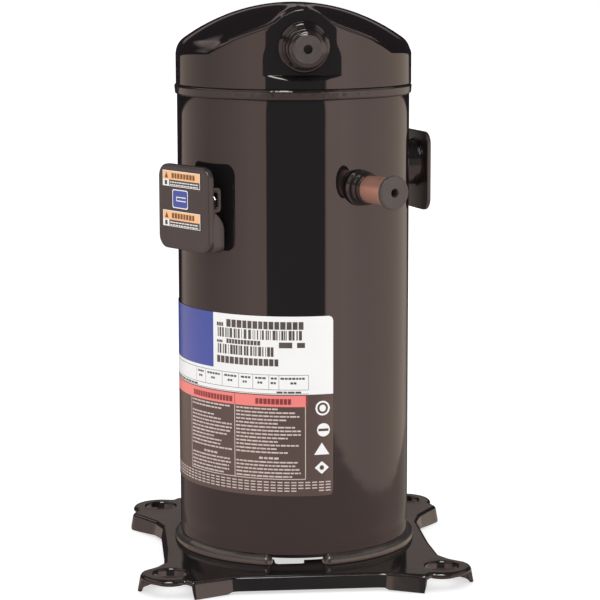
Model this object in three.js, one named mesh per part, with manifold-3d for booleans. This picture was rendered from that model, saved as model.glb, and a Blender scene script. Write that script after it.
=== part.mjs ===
// Hermetic scroll compressor. Millimetres, +Z up, +X right, -Y front (discharge side).
// The shell axis is the Z axis and z = 0 is the surface the base stands on.
//
// Azimuth is measured round the shell from the front, growing towards +X:
// the point at azimuth A and radius r is (r sin A, -r cos A).

import * as THREE from 'three';
import { mergeVertices } from 'three/addons/utils/BufferGeometryUtils.js';
import Module from 'manifold-3d';

const kernel = await Module();
kernel.setup();

// ---------------------------------------------------------------- driving dimensions

const GAP = 0.3;                       // clearance left between parts that touch

const SHELL_SIDES = 32;                // facets round the pressure shell
const MID_SIDES = 24;                  // facets round rings and housings
const SMALL_SIDES = 16;                // facets round shafts, stubs and plugs
const TINY_SIDES = 8;                  // facets round pins, bolts and drilled holes

const PLATE_TOP = 12.5;                // base plate top face
const PLATE_THICK = 3.2;
const MOUNT_PITCH = 190.5;             // square of rubber-mount holes
const MOUNT_HOLE_R = 10.5;
const FOOT_R = 21;
const SIDE_HALF_X = 96;                // straight part of the left and right sides
const SIDE_HALF_Y = 110;               // straight part of the front and back sides
const FLARE_X = 118;                   // where the flanges end beside the feet
const FLARE_Y = 120.5;
const PLATE_HOLE_R = 71;

const SHELL_R = 83.3;
const SHELL_WALL = 3.2;
const SHELL_IN = SHELL_R - SHELL_WALL;
const KNUCKLE_R = 16;                  // bend at the bottom of the lower cap
const SKIRT_Z = 19.1;                  // lower edge of the straight skirt that the base weld meets
const SHELL_BOTTOM = PLATE_TOP + KNUCKLE_R;
const SHELL_TOP = 338.5;
const CAP_R = 84;
const CAP_BOTTOM = 346.3;
const CAP_APEX = 403.2;
const DOME_R = 134;

const BOSS_FACE = 81;                  // flat face of the discharge boss, distance in front of the axis
const DISCHARGE_Z = 374.5;
const DISCHARGE_TIP = 111;

const SUCTION_AZ = 28;
const SUCTION_Z = 277.6;
const SUCTION_TIP = 125.5;

const POWER_AZ = -55.7;                // three-pin motor terminal
const POWER_Z = 262.5;
const SOLENOID_AZ = 105;               // two-pin solenoid terminal
const SOLENOID_Z = 285.2;
const COVER_FACE = 98.5;               // front face of both moulded plugs, from the shell axis
const NECK_R = 16.8;
// Face plates: size, thickness, and how far the plate centre is beside and below the neck.
const MOTOR_PLUG = { w: 58.2, h: 59.5, thick: 5, aside: -1.3, below: 0, hooded: true };
const SOLENOID_PLUG = { w: 50, h: 57.2, thick: 3.6, aside: 1.5, below: 5, hooded: false };

const PIN_OFFSET = 3.4;                // orbit radius of the crank pin
const WRAP_PITCH = 16;
const WRAP_THICK = 4;
const WRAP_HEIGHT = 28;
const WRAP_START = 3.6;                // involute angle at the inner tip, radians
const ORBIT_TURNS = 2.75;
const FIXED_TURNS = 3.25;
const ORBIT_PLATE_R = 59.5;
const PILLAR_AZ = [62, 152, 242, 332];
const PILLAR_AT = 71.5;
const PILLAR_R = 7;

// heights inside the shell, bottom to top
const STACK_BOTTOM = 95;
const STACK_TOP = 165;
const HOUSING_BOTTOM = 200;
const HOUSING_TOP = 262;
const THRUST_Z = 267;
const ORBIT_BOTTOM = THRUST_Z + GAP;
const ORBIT_TOP = ORBIT_BOTTOM + 9;
const FIXED_BOTTOM = ORBIT_TOP + WRAP_HEIGHT + GAP;
const FIXED_TOP = FIXED_BOTTOM + 15;
const MUFFLER_Z = 339.5;

// ---------------------------------------------------------------- materials

const finish = (color, metalness, roughness) =>
  new THREE.MeshStandardMaterial({ color, metalness, roughness });

const paint = finish(0x16130f, 0.2, 0.25);
const castIron = finish(0x55565a, 0.7, 0.6);
const steel = finish(0x9a9ca0, 0.9, 0.35);
const darkSteel = finish(0x4b4d52, 0.8, 0.5);
const copper = finish(0xc08060, 0.9, 0.3);
const aluminium = finish(0xb9bcc0, 0.8, 0.4);
const laminations = finish(0x6e7076, 0.7, 0.55);
const rubber = finish(0x3f3b37, 0.0, 0.8);
const plastic = finish(0x2a2624, 0.0, 0.4);
const bronze = finish(0xa6814d, 0.8, 0.4);
const glassEpoxy = finish(0x6d5b4a, 0.0, 0.5);
const paper = finish(0xe8e6e2, 0.0, 0.5);
const orangePaper = finish(0xf0b27c, 0.0, 0.5);
const bluePaper = finish(0x3a4f9c, 0.0, 0.5);

// ---------------------------------------------------------------- small helpers

const rad = (deg) => deg * Math.PI / 180;
const around = (az, r) => [r * Math.sin(rad(az)), -r * Math.cos(rad(az))];
const range = (n) => Array.from({ length: n }, (_, i) => i);

// Same body with shared corners: positions only, coincident vertices merged, flat triangles dropped.
function welded(body) {
  const bare = new THREE.BufferGeometry();
  bare.setAttribute('position', body.attributes.position);
  bare.setIndex(body.index ? Array.from(body.index.array) : range(body.attributes.position.count));
  const merged = mergeVertices(bare, 1e-4);
  const source = merged.index.array;
  const triangles = [];
  for (let i = 0; i < source.length; i += 3) {
    const [a, b, c] = [source[i], source[i + 1], source[i + 2]];
    if (a !== b && b !== c && c !== a) {
      triangles.push(a, b, c);
    }
  }
  merged.setIndex(triangles);
  return merged;
}

// Closed body turned round the Z axis from [radius, height] points.
function turned(profile, segments = MID_SIDES) {
  const points = profile.map(([r, z]) => new THREE.Vector2(r, z));
  const body = welded(new THREE.LatheGeometry(points, segments));
  body.rotateX(Math.PI / 2);
  return body;
}

// Ring or tube between two radii and two heights.
function ring(inner, outer, bottom, top, segments = MID_SIDES) {
  return turned([[inner, bottom], [outer, bottom], [outer, top], [inner, top], [inner, bottom]], segments);
}

function disc(radius, bottom, top, segments = SMALL_SIDES) {
  return turned([[0, bottom], [radius, bottom], [radius, top], [0, top]], segments);
}

function box(x0, x1, y0, y1, z0, z1) {
  const body = welded(new THREE.BoxGeometry(x1 - x0, y1 - y0, z1 - z0));
  body.translate((x0 + x1) / 2, (y0 + y1) / 2, (z0 + z1) / 2);
  return body;
}

// Flat outline raised from bottom to top.
function raised(outline, bottom, top) {
  const shape = new THREE.Shape(outline.map(([x, y]) => new THREE.Vector2(x, y)));
  const body = welded(new THREE.ExtrudeGeometry(shape, { depth: top - bottom, bevelEnabled: false }));
  body.translate(0, 0, bottom);
  return body;
}

// Part of a turned ring between two azimuths.
function sector(profile, fromAz, toAz, steps) {
  const count = profile.length;
  const positions = [];
  const index = [];
  range(steps + 1).forEach((i) => {
    const az = fromAz + (toAz - fromAz) * i / steps;
    profile.forEach(([r, z]) => positions.push(...around(az, r), z));
  });
  range(steps).forEach((i) => range(count).forEach((k) => {
    const a = i * count + k;
    const b = i * count + (k + 1) % count;
    index.push(a, a + count, b, b, a + count, b + count);
  }));
  const shape = profile.map(([r, z]) => new THREE.Vector2(r, z));
  const last = steps * count;
  THREE.ShapeUtils.triangulateShape(shape, []).forEach(([a, b, c]) => {
    index.push(a, b, c, last + a, last + c, last + b);
  });
  const body = new THREE.BufferGeometry();
  body.setAttribute('position', new THREE.Float32BufferAttribute(positions, 3));
  body.setIndex(index);
  return outward(body);
}

// Turns the faces of a closed body outwards if they point inwards.
function outward(body) {
  const p = body.attributes.position;
  const index = body.index.array;
  const at = (i) => new THREE.Vector3().fromBufferAttribute(p, i);
  let volume = 0;
  for (let i = 0; i < index.length; i += 3) {
    volume += at(index[i]).dot(at(index[i + 1]).cross(at(index[i + 2])));
  }
  if (volume < 0) {
    for (let i = 0; i < index.length; i += 3) {
      const keep = index[i + 1];
      index[i + 1] = index[i + 2];
      index[i + 2] = keep;
    }
  }
  return body;
}

// Exact solid of a closed geometry, for adding and cutting.
function solid(body) {
  return new kernel.Manifold(new kernel.Mesh({
    numProp: 3,
    vertProperties: new Float32Array(body.attributes.position.array),
    triVerts: new Uint32Array(body.index.array),
  }));
}

function join(...bodies) {
  return bodies.map(solid).reduce((sum, next) => sum.add(next));
}

function cut(base, ...tools) {
  const start = base instanceof THREE.BufferGeometry ? solid(base) : base;
  return tools.map(solid).reduce((sum, next) => sum.subtract(next), start);
}

function geometryOf(body) {
  if (body instanceof THREE.BufferGeometry) {
    return body;
  }
  const mesh = body.getMesh();
  const out = new THREE.BufferGeometry();
  out.setAttribute('position', new THREE.Float32BufferAttribute(mesh.vertProperties, 3));
  out.setIndex(Array.from(mesh.triVerts));
  out.computeVertexNormals();
  return out;
}

// Moves a body built round +Z (its own x = sideways, y = up) so that +Z points out of the shell.
function facing(body, az, z = 0) {
  const [nx, ny] = around(az, 1);
  const basis = new THREE.Matrix4().makeBasis(
    new THREE.Vector3(-ny, nx, 0),
    new THREE.Vector3(0, 0, 1),
    new THREE.Vector3(nx, ny, 0),
  );
  basis.setPosition(0, 0, z);
  const moved = body.clone();
  moved.applyMatrix4(basis);
  return moved;
}

const assembly = new THREE.Group();
assembly.name = 'scroll_compressor';

function add(name, body, material) {
  const mesh = new THREE.Mesh(geometryOf(body), material);
  mesh.name = name;
  assembly.add(mesh);
}

// ---------------------------------------------------------------- base plate

// Left and right edges between the middle and a foot, as [half width, depth, lower edge of the flange].
// At the back they flare out long before the foot; at the front they run straight nearly to it.
const backEdge = [
  [SIDE_HALF_X, 30, 2.8], [SIDE_HALF_X + 5, 46, 2], [FLARE_X - 7, 62, 0.6], [FLARE_X, 72, 0],
];
const frontEdge = [
  [SIDE_HALF_X, 30, 2.8], [SIDE_HALF_X + 2, 66, 2.8], [SIDE_HALF_X + 8.5, 77, 1],
];
const footArc = range(7).map((i) => {
  const a = rad(-28 + 146 * i / 6);
  return [MOUNT_PITCH / 2 + FOOT_R * Math.cos(a), MOUNT_PITCH / 2 + FOOT_R * Math.sin(a)];
});

// Outline of one foot and the flared ends beside it, for the quadrant (sx, sy).
function footOutline(sx, sy) {
  const edge = sy > 0 ? [...backEdge, [FLARE_X - 2.5, 79]] : frontEdge;
  return [
    ...[...edge, ...footArc].map(([x, y]) => [sx * x, sy * y]),
    [sx * 80, sy * (FLARE_Y - 0.5)],
    [sx * 70, sy * (FLARE_Y - 3.5)],
    [sx * 58, sy * (SIDE_HALF_Y + 2)],
    [sx * 50, sy * SIDE_HALF_Y],
  ];
}

const plateOutline = [
  ...footOutline(1, 1),
  ...footOutline(-1, 1).reverse(),
  ...footOutline(-1, -1),
  ...footOutline(1, -1).reverse(),
];

// Downturned flange: a wall following stations of [x, y, bottom height].
function flange(stations) {
  const middle = stations[Math.floor(stations.length / 2)];
  const inwardX = Math.abs(middle[0]) > Math.abs(middle[1]) ? -Math.sign(middle[0]) : 0;
  const inwardY = inwardX === 0 ? -Math.sign(middle[1]) : 0;
  const top = PLATE_TOP - 0.5;
  const positions = [];
  const index = [];
  stations.forEach(([x, y, bottom]) => {
    const ix = x + inwardX * PLATE_THICK;
    const iy = y + inwardY * PLATE_THICK;
    positions.push(x, y, bottom, x, y, top, ix, iy, top, ix, iy, bottom);
  });
  range(stations.length - 1).forEach((i) => range(4).forEach((k) => {
    const a = i * 4 + k;
    const b = i * 4 + (k + 1) % 4;
    index.push(a, b, a + 4, b, b + 4, a + 4);
  }));
  const last = (stations.length - 1) * 4;
  index.push(0, 2, 1, 0, 3, 2, last, last + 1, last + 2, last, last + 2, last + 3);
  const body = new THREE.BufferGeometry();
  body.setAttribute('position', new THREE.Float32BufferAttribute(positions, 3));
  body.setIndex(index);
  return outward(body);
}

function sideFlanges() {
  const inset = 0.4;
  const clawEdge = [...frontEdge, ...footArc.slice(0, 2).map(([x, y]) => [x, y, 0])];
  const halfFront = [
    [80, FLARE_Y - 0.5 - inset, 0],
    [70, FLARE_Y - 3.5 - inset, 0.6],
    [58, SIDE_HALF_Y + 2 - inset, 2],
    [50, SIDE_HALF_Y - inset, 2.8],
  ];
  const sides = [1, -1].map((s) => flange([
    ...clawEdge.slice().reverse().map(([x, y, z]) => [s * (x - inset), -y, z]),
    ...backEdge.map(([x, y, z]) => [s * (x - inset), y, z]),
  ]));
  const ends = [1, -1].map((s) => flange([
    ...halfFront.map(([x, y, z]) => [-x, s * y, z]),
    ...halfFront.slice().reverse().map(([x, y, z]) => [x, s * y, z]),
  ]));
  return [...sides, ...ends];
}

const corner = MOUNT_PITCH / 2;
const mountCentres = [[1, 1], [-1, 1], [-1, -1], [1, -1]].map(([sx, sy]) => [sx * corner, sy * corner]);
const moved = (body, x, y, z = 0) => body.translate(x, y, z);

const dishes = mountCentres.map(([x, y]) => moved(turned([
  [0, PLATE_TOP - 6.4], [MOUNT_HOLE_R + 3.4, PLATE_TOP - 6.4],
  [MOUNT_HOLE_R + 6, PLATE_TOP - 0.6], [0, PLATE_TOP - 0.6],
], SMALL_SIDES), x, y));
const mountHoles = mountCentres.map(([x, y]) => moved(turned([
  [0, 0], [MOUNT_HOLE_R, 0], [MOUNT_HOLE_R, PLATE_TOP - 4],
  [MOUNT_HOLE_R + 2.6, PLATE_TOP + 0.2], [0, PLATE_TOP + 0.2],
], SMALL_SIDES), x, y));
// Each drain slot lies beside a quarter line, on the same hand all the way round.
const drainSlots = range(4).map((i) => box(-20.5, 0.5, -80, -68, 0, PLATE_TOP + 1).rotateZ(rad(90 * i)));

add('base_plate', cut(
  join(raised(plateOutline, PLATE_TOP - PLATE_THICK, PLATE_TOP), ...sideFlanges(), ...dishes),
  disc(PLATE_HOLE_R, 0, PLATE_TOP + 1, MID_SIDES),
  ...mountHoles,
  ...drainSlots,
), paint);

// fillet weld between plate and lower cap, left open at the front
add('base_weld', sector([
  [SHELL_R - 3.4, PLATE_TOP + GAP], [SHELL_R + 4.2, PLATE_TOP + GAP], [SHELL_R + 3.6, PLATE_TOP + 2.2],
  [SHELL_R - 0.6, PLATE_TOP + 6.2],
], 9, 344, 36), paint);

// ---------------------------------------------------------------- pressure shell

const bend = (n, from, to, cx, cz, r) => range(n + 1).map((i) => {
  const a = rad(from + (to - from) * i / n);
  return [cx + r * Math.cos(a), cz + r * Math.sin(a)];
});
const knuckleX = SHELL_IN - KNUCKLE_R;
const knuckleEnd = -Math.asin((SHELL_BOTTOM - SKIRT_Z) / KNUCKLE_R) * 180 / Math.PI;

add('lower_cap', turned([
  [0, PLATE_TOP - 6], [36, PLATE_TOP - 4.2],
  ...bend(3, -90, knuckleEnd, knuckleX, SHELL_BOTTOM, KNUCKLE_R),
  [SHELL_R, SKIRT_Z], [SHELL_R, SHELL_BOTTOM - GAP], [SHELL_IN - GAP, SHELL_BOTTOM - GAP],
  [SHELL_IN - GAP, SHELL_BOTTOM + 20], [SHELL_IN - GAP - SHELL_WALL, SHELL_BOTTOM + 20],
  ...bend(3, 0, -90, knuckleX, SHELL_BOTTOM, KNUCKLE_R - SHELL_WALL - GAP),
  [36, PLATE_TOP - 1], [0, PLATE_TOP - 2.8],
], SHELL_SIDES), paint);

add('centre_shell', cut(
  ring(SHELL_IN, SHELL_R, SHELL_BOTTOM, SHELL_TOP, SHELL_SIDES),
  facing(disc(11.9, 60, 100), SUCTION_AZ, SUCTION_Z),
  facing(disc(16.8, 60, 100), POWER_AZ, POWER_Z),
  facing(disc(11.9, 60, 100), SOLENOID_AZ, SOLENOID_Z),
), paint);

add('shell_weld', turned([
  [SHELL_IN + GAP, SHELL_TOP + GAP], [SHELL_R, SHELL_TOP + GAP], [SHELL_R + 2, SHELL_TOP + 3.8],
  [CAP_R - 0.2, CAP_BOTTOM - GAP], [SHELL_IN + GAP, CAP_BOTTOM - GAP], [SHELL_IN + GAP, SHELL_TOP + GAP],
], SHELL_SIDES), paint);

// dome height at a radius, for the outer (0) or the inner surface
const dome = (r, inset = 0) => CAP_APEX - DOME_R + Math.sqrt((DOME_R - inset) ** 2 - r * r);

const capOuter = [
  [0, CAP_BOTTOM], [CAP_R, CAP_BOTTOM], [CAP_R, 368], [CAP_R - 1, 372.5], [CAP_R - 3.6, dome(CAP_R - 3.6)],
  ...[66, 48, 26].map((r) => [r, dome(r)]),
  [0, CAP_APEX],
];
const capInner = [
  [0, CAP_BOTTOM - 1], [CAP_R - SHELL_WALL, CAP_BOTTOM - 1], [CAP_R - SHELL_WALL, 367], [CAP_R - 5.5, 371.5],
  ...[66, 48, 26].map((r) => [r, dome(r, SHELL_WALL)]),
  [0, dome(0, SHELL_WALL)],
];

// Boss outline across the front: flat-bottomed arch, given as [half width, height].
const bossArch = [
  [20.5, 355], [22.4, 358], [22.4, 367], [20.5, 376], [17.2, 382], [13.5, 388.5], [8.5, 394.5], [3, 397.8],
];

function boss(inset, from, to) {
  const right = bossArch.map(([w, z]) => [Math.max(w - inset, 1), z - (z > 370 ? inset : -inset)]);
  const outline = [...right, ...right.slice().reverse().map(([w, z]) => [-w, z])];
  const body = raised(outline, from, to);
  body.rotateX(Math.PI / 2);
  return body;
}

const dischargeBore = facing(disc(14.1, 60, 100), 0, DISCHARGE_Z);
const hollowCap = cut(
  join(turned(capOuter, SHELL_SIDES), boss(0, 30, BOSS_FACE)),
  turned(capInner, SHELL_SIDES),
  boss(3.6, 20, BOSS_FACE - 4),
);
// the flat face is set back into the round of the cap, so a pad thickens the wall behind it
const facePad = boss(0, BOSS_FACE - SHELL_WALL, BOSS_FACE);
add('top_cap', cut(hollowCap.add(solid(facePad)), boss(-0.2, BOSS_FACE, 95), dischargeBore), paint);

// ---------------------------------------------------------------- pipe stubs

add('discharge_fitting', facing(turned([
  [11.4, 77], [13.8, 77], [13.8, BOSS_FACE + GAP], [17.8, BOSS_FACE + GAP], [17.8, BOSS_FACE + 3],
  [16, BOSS_FACE + 5.4], [14.2, BOSS_FACE + 6.6], [14.2, BOSS_FACE + 14.6], [13.2, BOSS_FACE + 17.4],
  [11.4, BOSS_FACE + 17.4], [11.4, 77],
], SMALL_SIDES), 0, DISCHARGE_Z), steel);
add('discharge_tube', facing(ring(9.9, 11.1, 76, DISCHARGE_TIP - 4.4, SMALL_SIDES), 0, DISCHARGE_Z), copper);
add('discharge_plug', facing(turned([
  [0, 95], [9.3, 95], [9.5, DISCHARGE_TIP - 4.1], [12.7, DISCHARGE_TIP - 4.1], [12.7, DISCHARGE_TIP - 1.9],
  [11.9, DISCHARGE_TIP - 1.1], [9, DISCHARGE_TIP - 1.1], [8.6, DISCHARGE_TIP], [3, DISCHARGE_TIP],
  [3, DISCHARGE_TIP - 8], [0, DISCHARGE_TIP - 8],
], SMALL_SIDES), 0, DISCHARGE_Z), rubber);

add('suction_fitting', facing(turned([
  [9.8, 77], [11.5, 77], [11.5, SHELL_R + 0.8], [12.6, SHELL_R + 0.8], [12.6, 86.6], [11.6, 89], [11.4, 93.5],
  [10.6, 97], [9.8, 97], [9.8, 77],
], SMALL_SIDES), SUCTION_AZ, SUCTION_Z), steel);
add('suction_tube', facing(ring(8.4, 9.5, 77, SUCTION_TIP - 4, SMALL_SIDES), SUCTION_AZ, SUCTION_Z), copper);
add('suction_plug', facing(turned([
  [0, 103], [7.6, 103], [8.0, SUCTION_TIP - 3.7], [11.6, SUCTION_TIP - 3.7], [11.6, SUCTION_TIP - 0.8],
  [10.9, SUCTION_TIP], [2.9, SUCTION_TIP], [2.9, SUCTION_TIP - 9], [0, SUCTION_TIP - 9],
], SMALL_SIDES), SUCTION_AZ, SUCTION_Z), rubber);

// ---------------------------------------------------------------- electrical feedthroughs and plugs

function pinHoles(count, circle, radius) {
  return range(count).map((i) => {
    const a = rad(90 + 360 * i / count);
    return moved(disc(radius, 60, 100, TINY_SIDES), circle * Math.cos(a), circle * Math.sin(a));
  });
}

function feedthrough(name, az, z, radius, pins, circle, pinR, pinInner) {
  add(`${name}_body`, facing(geometryOf(cut(
    turned([
      [0, 77], [radius, 77], [radius, 81.5], [radius - 0.7, 82.6], [radius * 0.62, 83.3], [0, 83.3],
    ], SMALL_SIDES),
    ...pinHoles(pins, circle, pinR + GAP),
  )), az, z), steel);
  range(pins).forEach((i) => {
    const a = rad(90 + 360 * i / pins);
    const pin = moved(disc(pinR, pinInner, 92.8, TINY_SIDES), circle * Math.cos(a), circle * Math.sin(a));
    add(`${name}_pin_${i + 1}`, facing(pin, az, z), copper);
  });
}
feedthrough('motor_terminal', POWER_AZ, POWER_Z, 16.3, 3, 7, 1.6, 69);
feedthrough('solenoid_terminal', SOLENOID_AZ, SOLENOID_Z, 11.4, 2, 4.5, 1.3, 70);

// Rectangle with rounded corners, centred on (0, 0).
function roundedPlate(w, h, r, steps = 3) {
  const corners = [[1, 1, 0], [-1, 1, 90], [-1, -1, 180], [1, -1, 270]];
  return corners.flatMap(([sx, sy, start]) => range(steps + 1).map((i) => {
    const a = rad(start + 90 * i / steps);
    return [sx * (w / 2 - r) + r * Math.cos(a), sy * (h / 2 - r) + r * Math.sin(a)];
  }));
}

// Hood along the lower edge of a face plate, and the loop at its side.
function hoodAndLoop({ w, h }, back) {
  const outer = raised(roundedPlate(w, h, 9), 84.6, back + 0.5);
  const inner = raised(roundedPlate(w - 5.6, h - 5.6, 6.5), 84, back);
  const upper = box(-40, 40, -8, 40, 84, back);
  const loop = cut(box(w / 2 - 3, w / 2 - 0.6, -2, 16, back - 7, back + 0.5),
    box(w / 2 - 4, w / 2 + 1, 1.4, 12.6, back - 4.6, back));
  return cut(cut(outer, inner), upper).add(loop);
}

// Moulded plug centred on its face plate: the neck goes round the terminal.
function mouldedPlug(plug, cavityR) {
  const back = COVER_FACE - plug.thick;
  const neckEnd = SHELL_R + 0.7;
  const plate = raised(roundedPlate(plug.w, plug.h, 9), back, COVER_FACE);
  const neck = moved(disc(NECK_R, neckEnd, back + 1), -plug.aside, plug.below);
  const cavity = moved(disc(cavityR, neckEnd - 1, back + 0.3), -plug.aside, plug.below);
  const whole = plug.hooded ? join(plate, neck).add(hoodAndLoop(plug, back)) : join(plate, neck);
  return moved(geometryOf(cut(whole, cavity)), plug.aside, 0);
}

add('terminal_cover', facing(mouldedPlug(MOTOR_PLUG, 13.6), POWER_AZ, POWER_Z), plastic);
add('solenoid_cover',
  facing(mouldedPlug(SOLENOID_PLUG, 11), SOLENOID_AZ, SOLENOID_Z - SOLENOID_PLUG.below), plastic);

// ---------------------------------------------------------------- printed labels (blank bodies)

const STICKER_X = [-24.2, 18.9];
const sticker = (low, high) => facing(
  box(...STICKER_X, low, high, COVER_FACE + GAP, COVER_FACE + GAP + 0.2), POWER_AZ, POWER_Z);
add('cover_sticker_upper', sticker(14.4, 25.4), orangePaper);
add('cover_sticker_lower', sticker(-13.8, -2.6), orangePaper);
const badge = box(-13, 5, -0.6, 12.6, COVER_FACE + GAP, COVER_FACE + GAP + 0.2);
add('cover_badge', facing(badge, POWER_AZ, POWER_Z), bluePaper);
add('rating_label', sector([
  [SHELL_R + GAP, 62], [SHELL_R + GAP + 0.25, 62], [SHELL_R + GAP + 0.25, 189.5], [SHELL_R + GAP, 189.5],
], -112, 13.9, 24), paper);

// ---------------------------------------------------------------- motor

// Stator stack: pressed into the shell, with slots open to the bore and gas flats outside.
const SLOTS = 18;
const STATOR_BORE = 39.6;
const statorSlots = range(SLOTS).map((i) => {
  const slot = raised([[STATOR_BORE - 2, -1.2], [44, -1.2], [46, -2.6], [62, -3.8], [62, 3.8], [46, 2.6],
    [44, 1.2], [STATOR_BORE - 2, 1.2]], STACK_BOTTOM - 1, STACK_TOP + 1);
  return slot.rotateZ(2 * Math.PI * i / SLOTS);
});
const gasFlats = range(4).map((i) => box(76.5, 84, -20, 20, STACK_BOTTOM - 1, STACK_TOP + 1)
  .rotateZ(rad(45 + 90 * i)));
add('stator_core', cut(
  ring(STATOR_BORE, SHELL_IN - GAP, STACK_BOTTOM, STACK_TOP, SHELL_SIDES), ...statorSlots, ...gasFlats,
), laminations);

const endTurn = (low, high) => turned([
  [44, low], [66, low], [70, low + 5], [70, high - 5], [65, high], [44, high], [44, low],
], MID_SIDES);
add('stator_winding_upper', endTurn(STACK_TOP + GAP, 191), copper);
add('stator_winding_lower', endTurn(69, STACK_BOTTOM - GAP), copper);
add('motor_protector', moved(box(-11, 11, -5, 5, 191.4, 196.5), 0, 57), glassEpoxy);

const SHAFT_R = 15;
add('rotor_core', ring(SHAFT_R + GAP, 39, STACK_BOTTOM, STACK_TOP), laminations);
add('rotor_end_ring_upper', ring(22, 37.5, STACK_TOP + GAP, 171), aluminium);
add('rotor_end_ring_lower', ring(22, 37.5, 89, STACK_BOTTOM - GAP), aluminium);

// Balance weights: half rings on opposite sides of the rotor.
const halfRing = (fromAz, low, high) => sector(
  [[19, low], [36, low], [36, high], [19, high]], fromAz, fromAz + 170, 16);
add('counterweight_upper', halfRing(-85, 171.3, 188), bronze);
add('counterweight_lower', halfRing(95, 75, 88.7), bronze);

// ---------------------------------------------------------------- shaft and bearings

const PIN_R = 9.2;
const shaftBody = turned([
  [0, 40], [9.6, 40], [10, 41], [10, 72], [SHAFT_R, 72.5], [SHAFT_R, 198],
  [16, 198.5], [16, 236.5], [18.5, 237],
  [18.5, 239.8], [0, 239.8],
], SMALL_SIDES);
const pinBody = moved(disc(PIN_R, 239, 261.5), 0, PIN_OFFSET);
add('crankshaft', cut(join(shaftBody, pinBody), moved(disc(2.6, 30, 270, TINY_SIDES), 0, PIN_OFFSET)), steel);
add('oil_pickup', turned([
  [5, 24], [7.4, 24], [9.3, 34], [9.3, 39.7], [3, 39.7], [3, 36], [5, 30], [5, 24],
], SMALL_SIDES), darkSteel);
add('drive_bush', moved(ring(PIN_R + GAP, 12.8, 241, 261.5, SMALL_SIDES), 0, PIN_OFFSET), steel);
add('main_bushing', ring(16.4, 19, 201, 235.5, SMALL_SIDES), bronze);
add('lower_bushing', ring(10.4, 13, 48.5, 70, SMALL_SIDES), bronze);

const housingProfile = [
  [19.3, HOUSING_BOTTOM], [27, HOUSING_BOTTOM], [29, 214], [52, 214], [79.6, 218], [79.6, 236], [62, 240],
  [62, HOUSING_TOP], [45, HOUSING_TOP], [45, THRUST_Z], [30, THRUST_Z], [30, 236.4], [19.3, 236.4],
  [19.3, HOUSING_BOTTOM],
];
const pillars = PILLAR_AZ.map((az) => moved(
  disc(PILLAR_R, 230, FIXED_BOTTOM - GAP, 16), ...around(az, PILLAR_AT)));
const BOLT_R = 3.2;
const boltHoles = PILLAR_AZ.map((az) => moved(
  disc(BOLT_R + GAP, 270, FIXED_TOP + 5, TINY_SIDES), ...around(az, PILLAR_AT)));
const housingKeyways = [1, -1].map((s) =>
  box(s * 60 - 15.6, s * 60 + 15.6, -4.3, 4.3, 256.4, HOUSING_TOP + 1));
const gasPorts = PILLAR_AZ.map((az) => moved(disc(6.5, 205, 245, TINY_SIDES), ...around(az + 45, 70)));
add('main_bearing_housing', cut(
  join(turned(housingProfile), ...pillars), ...boltHoles, ...housingKeyways, ...gasPorts,
), castIron);

const bracketArms = [0, 120, 240].map((a) => box(18, 79.2, -7, 7, 55, 63).rotateZ(rad(a + 30)));
const bracketFeet = [0, 120, 240].map((a) => box(72, 78.6, -13, 13, 50, 68).rotateZ(rad(a + 30)));
add('lower_bearing_bracket', cut(
  join(disc(22, 47, 70), ...bracketArms, ...bracketFeet), disc(13.4, 40, 80),
), darkSteel);
add('oil_magnet', moved(disc(8, 11.5, 14.5, 12), 17, 0), darkSteel);

// ---------------------------------------------------------------- scroll set

// Spiral wall outline: two involutes of the same circle, a wall thickness apart.
function wrapOutline(turns) {
  const base = WRAP_PITCH / (2 * Math.PI);
  const half = WRAP_THICK / 2 / base;
  const steps = Math.round(turns * 24);
  const involute = (t, shift) => {
    const a = t - shift;
    return [base * (Math.cos(t) + a * Math.sin(t)), base * (Math.sin(t) - a * Math.cos(t))];
  };
  const angles = range(steps + 1).map((i) => WRAP_START + turns * 2 * Math.PI * i / steps);
  const outer = angles.map((t) => involute(t, -half));
  const inner = angles.map((t) => involute(t, half));
  return [...outer, ...inner.reverse()];
}

const keywayHalf = 4 + 2 * PIN_OFFSET + GAP;
const orbitKeyways = [1, -1].map((s) => box(-keywayHalf, keywayHalf, s * 62 - 18, s * 62 + 18,
  ORBIT_BOTTOM - 1, ORBIT_BOTTOM + 5.6));
const orbitWrap = raised(wrapOutline(ORBIT_TURNS), ORBIT_TOP - 1, ORBIT_TOP + WRAP_HEIGHT);
const orbitHub = ring(16.2, 20.6, 242.5, ORBIT_BOTTOM + 1, SMALL_SIDES);
const orbitPlate = disc(ORBIT_PLATE_R, ORBIT_BOTTOM, ORBIT_TOP, MID_SIDES);
const orbiting = cut(join(orbitPlate, orbitWrap, orbitHub), ...orbitKeyways);
add('orbiting_scroll', orbiting.translate(0, PIN_OFFSET, 0), castIron);
add('orbiting_bearing', moved(ring(13.2, 15.8, 243, 262.5, SMALL_SIDES), 0, PIN_OFFSET), bronze);

const fixedWrap = raised(wrapOutline(FIXED_TURNS), FIXED_BOTTOM - WRAP_HEIGHT, FIXED_BOTTOM + 1);
fixedWrap.rotateZ(Math.PI);
const ears = PILLAR_AZ.map((az) => moved(disc(PILLAR_R + 0.6, FIXED_BOTTOM, FIXED_BOTTOM + 9.5, 16),
  ...around(az, PILLAR_AT)));
const earWebs = PILLAR_AZ.map((az) => box(50, PILLAR_AT, -7.4, 7.4, FIXED_BOTTOM, FIXED_BOTTOM + 9.5)
  .rotateZ(rad(az - 90)));
const bypassPorts = [40, 220].map((az) => moved(disc(2.4, 290, 330, 8), ...around(az, 47)));
const fixedBase = turned([
  [0, FIXED_BOTTOM], [63, FIXED_BOTTOM], [63, FIXED_TOP], [53.2, FIXED_TOP], [53.2, FIXED_TOP + 8],
  [50.2, FIXED_TOP + 8], [50.2, FIXED_TOP - 3], [29, FIXED_TOP - 3], [29, FIXED_TOP + 8], [0, FIXED_TOP + 8],
], MID_SIDES);
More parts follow.
